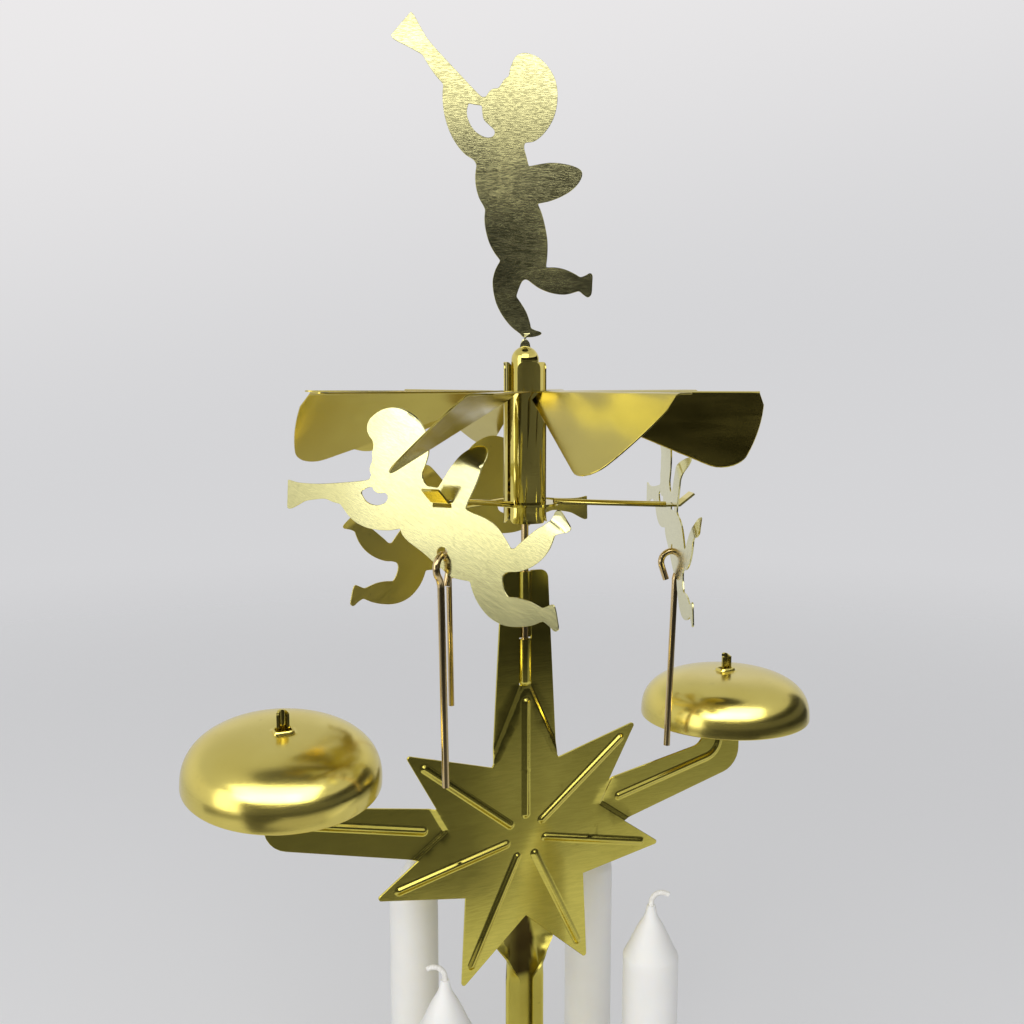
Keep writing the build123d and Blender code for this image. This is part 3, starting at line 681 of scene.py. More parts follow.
def bead_height(points, paths, rise):
    height = np.zeros(len(points))
    for path in paths:
        t = np.clip(1 - distance_to(points, path) / BEAD_HALF, 0, 1)
        height = np.maximum(height, rise * (0.5 - 0.5 * np.cos(pi * t)))
    return height


def shell(name, flat, faces, place, thick, worn=0.08):
    # Gives a filled outline two faces and a narrow worn edge; place bends it into space
    rim = rim_of(faces)
    push = np.zeros_like(flat)
    for a, b in rim:
        run = flat[b] - flat[a]
        out = np.array([run[1], -run[0]]) / max(np.linalg.norm(run), TINY)
        push[a] += out
        push[b] += out
    size = np.sum(push ** 2, axis=1)
    push = np.where(size[:, None] > 0, 2 * push / np.maximum(size, TINY)[:, None], 0)
    long = np.linalg.norm(push, axis=1)
    push *= np.where(long > 2, 2 / np.maximum(long, TINY), 1)[:, None]
    inner = flat - push * worn
    count = len(flat)
    layers = [place(inner, thick / 2), place(inner, -thick / 2)]
    edge = sorted({i for pair in rim for i in pair})
    number = {i: k for k, i in enumerate(edge)}
    layers += [place(flat[edge], thick / 2 - worn), place(flat[edge], worn - thick / 2)]
    verts = np.vstack(layers)
    upper, lower = 2 * count, 2 * count + len(edge)
    polygons = [tuple(f) for f in faces] + [tuple(count + i for i in f[::-1]) for f in faces]
    for a, b in rim:
        ua, ub = upper + number[a], upper + number[b]
        la, lb = lower + number[a], lower + number[b]
        polygons += [(b, a, ua, ub), (ub, ua, la, lb), (lb, la, count + a, count + b)]
    return mesh_of(name, verts, polygons)


def mesh_of(name, verts, polygons):
    mesh = bpy.data.meshes.new(name)
    mesh.from_pydata([Vector(v) * MM for v in verts], [], [tuple(int(i) for i in p) for p in polygons])
    mesh.validate()
    return mesh


def join_meshes(name, parts):
    maker = bmesh.new()
    for part in parts:
        maker.from_mesh(part)
        bpy.data.meshes.remove(part)
    mesh = bpy.data.meshes.new(name)
    maker.to_mesh(mesh)
    maker.free()
    return mesh


CREASE = 32


def piece(name, mesh, material, body, nodes=(), crease=CREASE):
    mesh.name = name
    mesh.materials.clear()
    mesh.materials.append(material)
    mesh.shade_smooth()
    mesh.set_sharp_from_angle(angle=radians(crease))
    made = bpy.data.objects.new(name, mesh)
    scene.collection.objects.link(made)
    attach(made, body)
    if nodes:
        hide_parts(*nodes)
    print(name, len(mesh.polygons), "faces")
    return made


def recalculated(mesh):
    # Merges doubles and turns every face outwards
    maker = bmesh.new()
    maker.from_mesh(mesh)
    bmesh.ops.remove_doubles(maker, verts=maker.verts, dist=1e-6)
    bmesh.ops.recalc_face_normals(maker, faces=maker.faces)
    maker.to_mesh(mesh)
    maker.free()
    return mesh


def folded(name, sections):
    # Joins sections of bent sheet; each lists its outer line and then its inner line
    n = len(sections[0]) // 2
    starts = [2 * n * s for s in range(len(sections))]
    polygons = []
    for low, high in zip(starts[:-1], starts[1:]):
        for k in range(n - 1):
            a, b = low + k, high + k
            polygons += [(a, a + 1, b + 1, b), (a + n, b + n, b + n + 1, a + n + 1)]
        polygons += [(low + k, high + k, high + k + n, low + k + n) for k in (0, n - 1)]
    for start in (starts[0], starts[-1]):
        polygons += [(a, a + n, a + n + 1, a + 1) for a in range(start, start + n - 1)]
    return recalculated(mesh_of(name, [point for section in sections for point in section], polygons))


def stacked(name, rings, joined=False):
    # Joins rings of points one after another; a ring of one point closes an end
    rows, verts = [], []
    for ring in rings:
        rows.append(range(len(verts), len(verts) + len(ring)))
        verts += ring
    count = max(len(row) for row in rows)
    polygons = [] if joined else [tuple(row) for row in (rows[0], rows[-1]) if len(row) > 1]
    for low, high in zip(rows, rows[1:] + rows[:1] if joined else rows[1:]):
        for k in range(count):
            j = (k + 1) % count
            corners = [row[i % len(row)] for row, i in ((low, k), (low, j), (high, j), (high, k))]
            polygons.append(tuple(dict.fromkeys(corners)))
    return recalculated(mesh_of(name, verts, polygons))


print("sheet helpers ready")

# %% [markdown]
# ## Upright with its star
# The upright is one stamped sheet: a strip, two arms for the bells, and a seven-pointed star
# that the press lifts forward with a soft step where it crosses the strip and the arms. Each
# point carries a round bead. A bump map would lose these from the side, so they are real
# height: the joined outline is filled with triangles that crowd over the beads and the step.

# %% Star
SHEET = 0.6
STAR_Z = 120.0
STAR_R, STAR_TOP_R, NOTCH_R = 40.6, 38.9, 21.0
BEAD_FROM, BEAD_TO, BEAD_RISE = 5.6, 34.4, 0.55
POINTS, TIP_SOFT = 7, 0.65
STEP_H, STEP_W = 0.6, 1.5
LEDGE_STEP, LEDGE_OFFSETS = 0.8, (0.25, 0.5, 0.75, 1.0, 1.25, 1.55)
star_line, star_beads = [], []
for i in range(POINTS):
    tip = radians(90 - 360 / POINTS * i)
    notch = radians(90 - 360 / POINTS * (i + 0.5))
    reach = STAR_TOP_R if i == 0 else STAR_R
    star_line += [(reach * cos(tip), reach * sin(tip)), (NOTCH_R * cos(notch), NOTCH_R * sin(notch))]
    star_beads.append([(r * cos(tip), r * sin(tip)) for r in (BEAD_FROM, BEAD_TO)])
star_line = soften(star_line, {i: TIP_SOFT for i in range(0, 2 * POINTS, 2)})
star_rows = [p for bead in star_beads for p in bead_rows(bead)]


def front_sheet(points, off):
    # Lays the sheet in the XZ plane, with the star and the beads lifted to the front
    inside = in_loop(points, star_line)
    t = np.clip(1 - np.where(inside, 0, distance_to(points, closed(star_line))) / STEP_W, 0, 1)
    lift = STEP_H * t * t * (3 - 2 * t) + off + bead_height(points, star_beads + arm_beads, BEAD_RISE)
    return np.stack([points[:, 0], -lift, points[:, 1] + STAR_Z], axis=1)


print("star outline", len(star_line), "points,", len(star_beads), "beads")

# %% Strip, arms and the whole sheet
BELL_X, SEAT_HALF, BELL_APEX = 60.2, 2.6, 35.3
strip_line = soften([(-8.9, 17.0), (8.9, 17.0), (6.2, 67.0), (-6.2, 67.0)], {2: 2.2, 3: 2.2})
arm_line = [(16.0, 9.3), (18.0, -3.9), (65.1, 8.2), (65.1, 27.0), (BELL_X + SEAT_HALF, BELL_APEX - 1.1),
            (BELL_X - SEAT_HALF, BELL_APEX - 1.1), (55.3, 27.0), (52.6, 15.9)]
arm_line = soften(arm_line, {2: 6.5, 7: 3.5})
LOOP_OUT, LOOP_IN, LOOP_GAP = 1.6, 0.95, 0.1
LOOP_CLOSE, LOOP_END = 1.5, 0.06
LOOPS = ((57.2, 67.0, -1), (50.3, 57.2, 1), (39.7, 50.3, -1))
slot_line = [(-LOOP_OUT, 38.6), (LOOP_OUT, 38.6), (LOOP_OUT, 68.0), (-LOOP_OUT, 68.0)]
arm_bead = soften([(27.0, 5.7), (57.9, 12.8), (BELL_X, 28.0), (30.0, 28.0)], {1: 5.0})[:9]
arm_beads = [arm_bead, [(-x, z) for x, z in arm_bead]]
arm_rows = [p for bead in arm_beads for p in bead_rows(bead)]
ledge_rows = []
for a, b in zip(star_line, star_line[1:] + star_line[:1]):
    run = Vector(b) - Vector(a)
    out = Vector((-run.y, run.x)).normalized()
    for s in np.arange(0.3, run.length, LEDGE_STEP):
        spot = Vector(a) + run.normalized() * s
        ledge_rows += [tuple(spot + out * off) for off in LEDGE_OFFSETS]
solid_lines = [star_line[::-1], strip_line, arm_line, [(-x, z) for x, z in arm_line[::-1]]]
sheet_flat, sheet_faces = fill(solid_lines, [slot_line], spacing=2.6,
                               rows=star_rows + arm_rows + ledge_rows)
sheet_mesh = shell("sheet", sheet_flat, sheet_faces, front_sheet, SHEET)


def half_tube(z0, z1, side, closed_low):
    # A loop pressed out of the strip round the needle, with a rounded lower end if closed
    stations = [(z1 - LOOP_GAP, 1.0), (z0 + LOOP_GAP, 1.0)]
    if closed_low:
        ends = np.linspace(0, LOOP_CLOSE, 7)
        stations[1:] = [(z0 - LOOP_OUT * sin(a), max(cos(a), LOOP_END)) for a in ends]
    sections = []
    for z, shrink in stations:
        sections.append([(radius * shrink * cos(a), side * radius * shrink * sin(a), z + STAR_Z)
                         for radius in (LOOP_OUT, LOOP_IN) for a in np.linspace(0, pi, 15)])
    return folded("loop", sections)


loop_meshes = [half_tube(z0, z1, side, i == 2) for i, (z0, z1, side) in enumerate(LOOPS)]
print("sheet", len(sheet_faces), "triangles,", len(loop_meshes), "loops")

# %% Folded stem and bell points
FLOOR_Z = 2.6
# Height, how far the floor stands back, the two fold angles, growth to full width, lip length
STEM_STEPS = (
    (-16.5, 0.3, 0, 0, 0.0, 2.8), (-21.5, 0.5, 0, 0, 0.0, 2.8), (-25.0, 1.0, 12, 8, 0.05, 2.8),
    (-28.0, 1.3, 22, 14, 0.1, 2.8), (-29.8, 1.3, 38, 40, 0.25, 1.9), (-31.6, 1.2, 55, 75, 0.45, 1.2),
    (-34.0, 1.0, 72, 125, 0.7, 1.3), (-36.2, 0.75, 86, 165, 0.9, 2.3), (-37.8, 0.6, 90, 180, 1.0, 3.0),
)
# Half width of the floor and length of the sides, at the star and at full width
FLOOR_HALF, SIDE_LEN = (3.2, 4.85), (2.2, 1.6)
BEND_EASE, BEND_SHARE = 0.7, 0.45
STEM_BELOW = -40.0


def stem_section(back, fold, curl, grow, over):
    # Centre line of the folded sheet, its four bends eased
    wide, deep = [pair[0] + (pair[1] - pair[0]) * grow for pair in (FLOOR_HALF, SIDE_LEN)]
    half = [Vector((wide, back))]
    half.append(half[0] + Vector((deep * cos(radians(fold)), -deep * sin(radians(fold)))))
    half.append(half[1] + Vector((over * cos(radians(curl)), -over * sin(radians(curl)))))
    line = [Vector((-p.x, p.y)) for p in half[::-1]] + half
    eased = [line[0]]
    for k, (before, corner, ahead) in enumerate(zip(line[:-2], line[1:-1], line[2:])):
        reach = min(BEND_EASE, over * BEND_SHARE, deep * BEND_SHARE)
        start = corner + (before - corner).normalized() * reach
        end = corner + (ahead - corner).normalized() * reach
        eased += [start.lerp(corner, t).lerp(corner.lerp(end, t), t) for t in np.linspace(0, 1, 6)]
        if k == 1:
            eased += [Vector((wide * t, back)) for t in np.linspace(-0.7, 0.7, 8)]
    return eased + [line[-1]]


def channel(stations):
    sections = []
    for z, *shape in stations:
        line = stem_section(*shape)
        neighbours = zip(line[:1] + line[:-1], line[1:] + line[-1:])
        runs = [(ahead - back).normalized() for back, ahead in neighbours]
        sections.append([(p.x - run.y * off, p.y + run.x * off, z + STAR_Z)
                         for off in (SHEET / 2, -SHEET / 2) for p, run in zip(line, runs)])
    return folded("stem", sections)


stem_table = np.array(STEM_STEPS[::-1])
stem_levels = list(np.linspace(STEM_STEPS[0][0], STEM_STEPS[-1][0], 48))
stem_levels += list(np.linspace(STEM_BELOW, FLOOR_Z - STAR_Z, 12))
stem_stations = []
for z in stem_levels:
    shape = [float(np.interp(z, stem_table[:, 0], column)) for column in stem_table.T[1:]]
    stem_stations.append([z] + shape)
stem_mesh = channel(stem_stations)

# Painted shade darkens the floor of the fold just under the star, darkest on its left
SHADE_EDGE = ((-37.0, -28.5, -21.5), (2.2, 3.2, 1.4))
SHADE_DOWN = ((-38.2, -36.6, -21.0), (0.0, 1.0, 1.0))
SHADE_ACROSS = (0.5, 0.75, 1.0, 1.0, 0.0)
LIP_DEPTH = 1.1
pocket_shade = stem_mesh.attributes.new("pocket_shade", "FLOAT", "POINT")
for vertex in stem_mesh.vertices:
    x, y, z = vertex.co / MM
    z -= STAR_Z
    right = np.interp(z, *SHADE_EDGE)
    across = np.interp(x, (-8.0, -4.5, -1.5, right - 0.5, right + 0.3), SHADE_ACROSS)
    behind = np.interp(z, stem_table[:, 0], stem_table[:, 1]) - LIP_DEPTH
    pocket_shade.data[vertex.index].value = float(across * np.interp(z, *SHADE_DOWN)) if y > behind else 0.0
piece("upright_stem", stem_mesh, stem_brass, "stand")

TAB_HALF, TAB_FOOT, TAB_TOP, TAB_DIP = 1.45, 29.0, 40.0, 0.9


def bell_point(x):
    # A narrow gutter that stands up through the bell, its corners cut lower than its middle
    sections = []
    for foot, dip in ((TAB_FOOT, 0.0), (TAB_TOP, TAB_DIP)):
        sections.append([(x + radius * cos(a), radius * sin(a) - TAB_HALF / 2,
                          foot - dip * abs(cos(a)) ** 3 + STAR_Z)
                         for radius in (TAB_HALF, TAB_HALF - SHEET) for a in np.linspace(0, pi, 11)])
    return folded("bell point", sections)


def boxes(name, spans):
    verts, polygons = [], []
    for low, high in spans:
        first = len(verts)
        verts += [(x, y, z) for z in (low[2], high[2]) for y in (low[1], high[1]) for x in (low[0], high[0])]
        for quad in ((0, 2, 3, 1), (4, 5, 7, 6), (0, 1, 5, 4), (1, 3, 7, 5), (3, 2, 6, 7), (2, 0, 4, 6)):
            polygons.append(tuple(first + i for i in quad))
    return mesh_of(name, verts, polygons)


# The stem's foot: tongues through the tray and the tabs turned over below it
TAB_LOW, TAB_HIGH = FLOOR_Z - 1.45, FLOOR_Z - 0.95
TONGUE_LOW, TONGUE_HIGH = FLOOR_Z - 1.4, FLOOR_Z + 0.4
FOOT_X, FOOT_HALF = 3.35, 1.1
feet = [((-2.5, 1.1, TONGUE_LOW), (2.5, 1.7, TONGUE_HIGH)), ((-2.5, 1.1, TAB_LOW), (2.5, 6.1, TAB_HIGH))]
for middle in (-FOOT_X, FOOT_X):
    left, right = middle - FOOT_HALF, middle + FOOT_HALF
    feet += [((left, -1.9, TONGUE_LOW), (right, -1.3, TONGUE_HIGH)),
             ((left, -6.3, TAB_LOW), (right, -1.3, TAB_HIGH))]
points_mesh = join_meshes("points", [bell_point(x) for x in (BELL_X, -BELL_X)])
piece("bell_points", points_mesh, hub_brass, "stand")
upright_parts = [recalculated(part) for part in (sheet_mesh, boxes("feet", feet))] + loop_meshes
upright_mesh = join_meshes("upright", upright_parts)
piece("upright_sheet", upright_mesh, star_brass, "stand", ["upright"])

# %% [markdown]
# ## Bells
# Each bell is a shallow spun dome with a slot for the arm's point and a low lip round it.
# A plain lathe would have a round hole, so the rings here change from the slot's outline at
# the crown to full circles down the side. The left bell hangs off its centre and leans.

# %% Bells
BELL_R, BELL_H, BELL_LEAN = 22.38, 11.9, 9.5
DOME_POWER, CROWN_FROM, RIM_R, RIM_OPEN = 1 / 2.6, 0.16, 0.3, 0.4
SLOT_X, SLOT_Y, LIP_H = 1.8, 1.15, 0.8
BELL_SIDES = 96


def dome_z(r):
    return BELL_H * max(0.0, 1 - (r / BELL_R) ** 3) ** DOME_POWER


def bell_rings():
    # Profile down the outside, round the rim and back up the inside, as (radius, height)
    outside = [(BELL_R * sin(a), dome_z(BELL_R * sin(a))) for a in np.linspace(CROWN_FROM, pi / 2, 44)]
    rim = [(BELL_R - RIM_R + RIM_R * cos(a), -RIM_R * sin(a))
           for a in np.linspace(RIM_OPEN, pi - RIM_OPEN, 5)]
    inside = [((BELL_R - SHEET) * sin(a), (BELL_H - SHEET) / BELL_H * dome_z(BELL_R * sin(a)))
              for a in np.linspace(pi / 2, CROWN_FROM, 32)]
    return outside + rim + inside


def slot_ring(grow):
    # The slot's outline, a squared oval
    ring = []
    for i in range(BELL_SIDES):
        c, s = cos(2 * pi * i / BELL_SIDES), sin(2 * pi * i / BELL_SIDES)
        ring.append((np.sign(c) * (SLOT_X + grow) * abs(c) ** 0.5,
                     np.sign(s) * (SLOT_Y + grow) * abs(s) ** 0.5))
    return ring


def circle(radius, height, count, centre=(0.0, 0.0)):
    return [(x, y, height) for x, y in disc_loop(centre, radius, count)]


def bell_mesh(lean):
    lip = BELL_H + LIP_H
    lips = ((0.0, BELL_H - SHEET), (0.0, lip - 0.15), (0.12, lip), (0.4, lip), (0.55, lip - 0.15),
            (0.7, BELL_H + 0.12), (1.1, BELL_H - 0.02))
    rings = [[(x, y, z) for x, y in slot_ring(grow)] for grow, z in lips]
    rings += [circle(r, z, BELL_SIDES) for r, z in bell_rings()]
    mesh = stacked("bell", rings, joined=True)
    mesh.transform(Matrix.Rotation(radians(lean), 4, "X"))
    return mesh


for name, lean in (("bell_left", BELL_LEAN), ("bell_right", 0.0)):
    mesh = bell_mesh(lean)
    low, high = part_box(name)
    xyz = np.array([tuple(v.co) for v in mesh.vertices])
    shift = Vector((low + high) / 2) - Vector((xyz.min(axis=0) + xyz.max(axis=0)) / 2)
    shift.z = low.z - xyz[:, 2].min()
    mesh.transform(Matrix.Translation(shift))
    made = piece(name + "_spun", mesh, bell_brass, name, [name])
    glared.objects.link(made)
    if name == "bell_left":
        lit_below.objects.link(made)

# %% [markdown]
# ## Fan wheel
# Eight blades are cut from one disc and folded down along their spokes. The repeat is a job
# for Geometry Nodes: one blade is made flat, bent over a small radius and handed to a tree
# that turns copies of it round the axis, realizes them and sets their material.

# %% One blade
FAN_SHEET, FAN_WORN, FAN_R, FAN_TURN, BLADES = 0.35, 0.05, 55.7, 8.2, 8
PLATE_Z, HUB_R, THIMBLE_R, HUB_CLEAR = 230.3, 8.6, 3.3, 0.02
SWEEP, DROP, BEND_R, SPOKE_W = radians(27.8), radians(41.3), 1.6, 4.2
BEND_LEN = BEND_R * DROP
TIP_ROUND = 6.0
edge_from = Vector((7.2, 2.4))
edge_way = (Vector((FAN_R * cos(SWEEP), FAN_R * sin(SWEEP))) - edge_from).normalized()
inward = Vector((edge_way.y, -edge_way.x))
near = edge_from + inward * TIP_ROUND
half_way = near.dot(edge_way)
edge_run = -half_way + (half_way ** 2 - near.length_squared + (FAN_R - TIP_ROUND) ** 2) ** 0.5
tip_middle = near + edge_way * edge_run
first, last = atan2(-inward.y, -inward.x), atan2(tip_middle.y, tip_middle.x)
tip_arc = [tip_middle + Vector((cos(a), sin(a))) * TIP_ROUND for a in np.linspace(first, last, 14)]
outer_arc = [Vector((cos(a), sin(a))) * FAN_R for a in np.linspace(last, radians(4), 12)[1:]]
blade_line = [(5.0, 0.0), (7.2, 0.0)] + [(p.x, -BEND_LEN - p.y) for p in [edge_from] + tip_arc + outer_arc]
blade_line += [(FAN_R - 1, -BEND_LEN), (FAN_R - 1, 0.0), (FAN_R - 1, SPOKE_W), (8.5, 3.2), (5.0, 3.2)]
blade_line = soften(blade_line, {len(blade_line) - 3: 3.2})


def fold_blade(points, off):
    # x runs out along the spoke; y above 0 is the flat spoke, below 0 the bend and the slope
    u, s = points[:, 0], points[:, 1]
    bent = np.clip(-s, 0, BEND_LEN) / BEND_R
    slope = np.clip(-s - BEND_LEN, 0, None)
    across = np.where(s > 0, s, -(BEND_R + off) * np.sin(bent) - slope * np.cos(DROP))
    down = np.where(s > 0, 0, -(BEND_R + off) * (1 - np.cos(bent)) - slope * np.sin(DROP))
    return np.stack([across, -u, down + off + PLATE_Z], axis=1)


blade_rows = [(u, -BEND_LEN * k / 6) for u in np.arange(8.0, FAN_R - 1.5, 1.6) for k in range(7)]
blade_flat, blade_faces = fill([blade_line], spacing=2.4, rows=blade_rows)
blade_mesh = recalculated(shell("blade", blade_flat, blade_faces, fold_blade, FAN_SHEET, FAN_WORN))
blade_mesh.shade_smooth()
blade_mesh.set_sharp_from_angle(angle=radians(CREASE))
print("blade", len(blade_faces), "triangles on each side")

# %% Ring of pieces, a tree


def socket_ids(tree):
    sockets = [item for item in tree.interface.items_tree if item.item_type == "SOCKET"]
    return {item.name: item.identifier for item in sockets if item.in_out == "INPUT"}


def geometry_tree(name, inputs):
    tree = bpy.data.node_groups.new(name, "GeometryNodeTree")
    for label, kind in inputs:
        tree.interface.new_socket(label, in_out="INPUT", socket_type="NodeSocket" + kind)
    tree.interface.new_socket("Geometry", in_out="OUTPUT", socket_type="NodeSocketGeometry")
    return tree, tree.nodes.new("NodeGroupInput"), tree.nodes.new("NodeGroupOutput")


def hand_out(tree, made, given, out):
    # Realizes what a tree made, sets its finish and joins it to the output
    real = tree.nodes.new("GeometryNodeRealizeInstances")
    finish = tree.nodes.new("GeometryNodeSetMaterial")
    link(tree, made, real.inputs[0])
    link(tree, real.outputs[0], finish.inputs["Geometry"])
    link(tree, given.outputs["Finish"], finish.inputs["Material"])
    link(tree, finish.outputs[0], out.inputs[0])


def ring_of_pieces():
    inputs = (("Piece", "Object"), ("Count", "Int"), ("First turn", "Float"), ("Finish", "Material"))
    tree, given, out = geometry_tree("ring of pieces", inputs)
    index = tree.nodes.new("GeometryNodeInputIndex")
    step = maths(tree, "DIVIDE", 2 * pi, given.outputs["Count"])
    turn = maths(tree, "ADD", maths(tree, "MULTIPLY", index.outputs[0], step), given.outputs["First turn"])
    euler = tree.nodes.new("ShaderNodeCombineXYZ")
    link(tree, turn, euler.inputs["Z"])
    spots = tree.nodes.new("GeometryNodePoints")
    link(tree, given.outputs["Count"], spots.inputs["Count"])
    source = tree.nodes.new("GeometryNodeObjectInfo")
    source.inputs["As Instance"].default_value = True
    link(tree, given.outputs["Piece"], source.inputs["Object"])
    copies = tree.nodes.new("GeometryNodeInstanceOnPoints")
    link(tree, spots.outputs[0], copies.inputs["Points"])
    link(tree, source.outputs["Geometry"], copies.inputs["Instance"])
    link(tree, euler.outputs[0], copies.inputs["Rotation"])
    hand_out(tree, copies.outputs[0], given, out)
    return tree


def grown(tree, values, data=None):
    # Runs a tree on a seed object and returns its result as a plain mesh
    seed = bpy.data.objects.new("seed", data or bpy.data.meshes.new("seed"))
    scene.collection.objects.link(seed)
    maker = seed.modifiers.new("maker", "NODES")
    maker.node_group = tree
    ids = socket_ids(tree)
    for label, value in values.items():
        maker[ids[label]] = value
    result = seed.evaluated_get(bpy.context.evaluated_depsgraph_get())
    mesh = bpy.data.meshes.new_from_object(result)
    seed.modifiers.clear()
    bpy.data.objects.remove(seed)
    return mesh


blade = bpy.data.objects.new("blade", blade_mesh)
scene.collection.objects.link(blade)
fan_values = {"Piece": blade, "Count": BLADES, "First turn": radians(FAN_TURN), "Finish": fan_brass}
fan_mesh = grown(ring_of_pieces(), fan_values)
bpy.data.objects.remove(blade)
piece("fan_blades", fan_mesh, fan_brass, "rotor", ["fan_wheel"])


def lie_level(points, off):
    return np.stack([points[:, 0], points[:, 1], np.full(len(points), PLATE_Z + off)], axis=1)


hub_hole = disc_loop((0, 0), THIMBLE_R + HUB_CLEAR, 48)
hub_flat, hub_faces = fill([disc_loop((0, 0), HUB_R, 72)], [hub_hole], spacing=1.6)
hub_mesh = recalculated(shell("hub", hub_flat, hub_faces, lie_level, FAN_SHEET, FAN_WORN))
piece("fan_hub", hub_mesh, fan_brass, "rotor")

# %% [markdown]
# ## Hub staves
# Three strips stand round the thimble and carry the fan on their tongues. Each is cut flat
# with rounded corners and then rolled to the hub's radius, so it is filled flat and its place
# function wraps it round the axis. The lower end flares a little where it was clinched.

# %% Staves
STAVE_R, STAVE_LOW, TONGUE_TOP, STAVE_TURN = 5.15, 199.0, 237.3, -14.0
FLARE, FLARE_H = 0.22, 2.6
stave_w, tongue_w = STAVE_R * radians(54.5), STAVE_R * radians(33.0)
under_plate = PLATE_Z - 0.2
stave_half = [(stave_w, STAVE_LOW), (stave_w, under_plate), (tongue_w, under_plate), (tongue_w, TONGUE_TOP)]
stave_line = [(-stave_w, STAVE_LOW)] + stave_half + [(-x, z) for x, z in stave_half[:0:-1]]
stave_line = soften(stave_line, {0: 1.4, 1: 1.4, 4: 1.8, 5: 1.8})
stave_rows = [(a, z) for a in np.linspace(0.3 - stave_w, stave_w - 0.3, 17)
              for z in np.arange(STAVE_LOW + 0.6, TONGUE_TOP - 0.1, 1.2)]
stave_flat, stave_faces = fill([stave_line], spacing=1.4, rows=stave_rows)
for i in range(3):
    heading = radians(STAVE_TURN + 120 * i)

    def roll(points, off, heading=heading):
        flare = FLARE * np.clip((STAVE_LOW + FLARE_H - points[:, 1]) / FLARE_H, 0, 1) ** 2
        turn = heading + points[:, 0] / STAVE_R
        radius = STAVE_R - FAN_SHEET / 2 + off + flare
        return np.stack([radius * np.sin(turn), -radius * np.cos(turn), points[:, 1]], axis=1)

    stave_mesh = recalculated(shell("stave", stave_flat, stave_faces, roll, FAN_SHEET, FAN_WORN))
    piece(f"stave_{i + 1}", stave_mesh, hub_brass, "rotor", [f"hub_stave_{i + 1}"])

# %% [markdown]
# ## Angels
# The angels are punched from thin brushed sheet. Their outlines are curves through points in
# millimetres, with a mark at each corner where the punch turned. The sheet is filled, and the
# flyers' wings are bent out of it, which the place function does.

# %% Flying angels
THIN, THIN_WORN = 0.4, 0.06
flyer_line = drawn_loop([
    (-41.3, 3.7, 1), (-41.8, -2.9, 1), (-41.0, -3.1), (-39.0, -2.3), (-36.7, -1.2), (-34.1, -0.7),
    (-30.8, -0.4), (-28.8, -1.0), (-26.7, -1.4, 1), (-25.7, -2.6), (-24.3, -4.1), (-22.4, -5.4),
    (-19.8, -6.3), (-17.0, -6.7), (-14.1, -6.7), (-11.9, -6.4), (-10.8, -6.1, 1), (-10.3, -7.4),
    (-8.8, -8.8), (-6.8, -10.0), (-4.8, -11.2), (-2.6, -12.8), (-0.3, -14.4), (2.1, -15.9),
    (4.3, -16.3), (6.5, -16.5, 1), (6.9, -18.0), (7.7, -19.9), (8.9, -21.7), (10.8, -23.6),
    (13.1, -24.8), (15.4, -25.3), (18.3, -25.2), (21.1, -24.6), (23.7, -23.5, 1), (25.1, -24.4),
    (26.2, -25.4), (27.1, -25.0), (26.9, -22.9), (26.5, -20.8), (26.0, -19.8), (24.8, -20.2),
    (23.4, -20.8, 1), (22.0, -20.2), (20.2, -19.5), (17.9, -19.1), (15.6, -19.1, 1), (15.0, -18.1),
    (14.5, -16.7), (14.3, -15.2), (14.7, -14.2, 1), (16.0, -13.8), (17.7, -13.7), (19.7, -13.1),
    (21.7, -12.1), (23.6, -10.6), (25.1, -8.7), (25.9, -7.1), (26.4, -5.7, 1), (27.6, -5.2),
    (29.4, -4.8), (29.8, -4.1), (28.9, -2.7), (27.8, -1.2), (27.0, -0.3), (26.2, -0.6), (26.0, -1.6),
    (25.6, -2.5, 1), (24.3, -3.5), (22.2, -4.7), (19.9, -6.5), (18.3, -7.8), (17.2, -8.8),
    (16.3, -8.9, 1), (15.2, -7.2), (13.7, -5.2), (11.9, -3.6), (9.5, -2.5), (7.2, -1.8),
    (5.7, -1.1, 1), (6.3, 0.4), (7.5, 2.6), (8.8, 5.2), (9.8, 7.9), (10.3, 10.4), (10.1, 11.9),
    (9.2, 12.6), (7.7, 12.4), (6.0, 11.3), (4.0, 9.5), (2.0, 7.2), (0.4, 5.0), (-1.0, 3.1, 1),
    (-3.6, 3.4, 1), (-4.7, 4.7), (-4.9, 6.1, 1), (-3.8, 8.4), (-3.1, 10.7), (-3.2, 13.1),
    (-4.0, 15.2), (-5.6, 17.4), (-7.7, 18.9), (-10.1, 19.9), (-12.4, 20.1), (-14.9, 19.6),
    (-17.0, 18.5), (-18.4, 17.2), (-18.9, 15.6), (-18.5, 14.1), (-17.5, 13.0, 1), (-17.3, 11.8),
    (-17.7, 10.3), (-17.7, 8.6), (-18.3, 7.3), (-18.5, 6.3), (-18.1, 5.5), (-18.6, 4.4, 1),
    (-19.9, 4.1), (-26.7, 3.4), (-32.3, 3.0), (-36.8, 3.0), (-39.1, 3.2),
])
arm_gap = drawn_loop([
    (-20.9, 1.4), (-19.8, 2.3), (-17.9, 2.8, 1), (-17.5, 2.0), (-16.4, 1.4), (-14.4, 1.6, 1),
    (-13.8, 0.7), (-14.4, -0.5), (-16.3, -1.2), (-18.3, -1.1), (-19.9, -0.3),
])
arm_slot = [(-2.3, -1.05), (2.3, -1.05), (2.3, 0.65), (-2.3, 0.65)]
hook_hole = disc_loop((-0.2, -10.8), 1.3, 28)
WING_ROOT, WING_WAY = np.array([2.35, 1.0]), np.array([0.533, 0.846])
WING_START, WING_BENT, WING_BEND, WING_HALF = 8.0, 3.2, 0.22, 3.6
wing_side = np.array([WING_WAY[1], -WING_WAY[0]])
wing_along = np.arange(WING_START, WING_START + WING_BENT, 0.4)
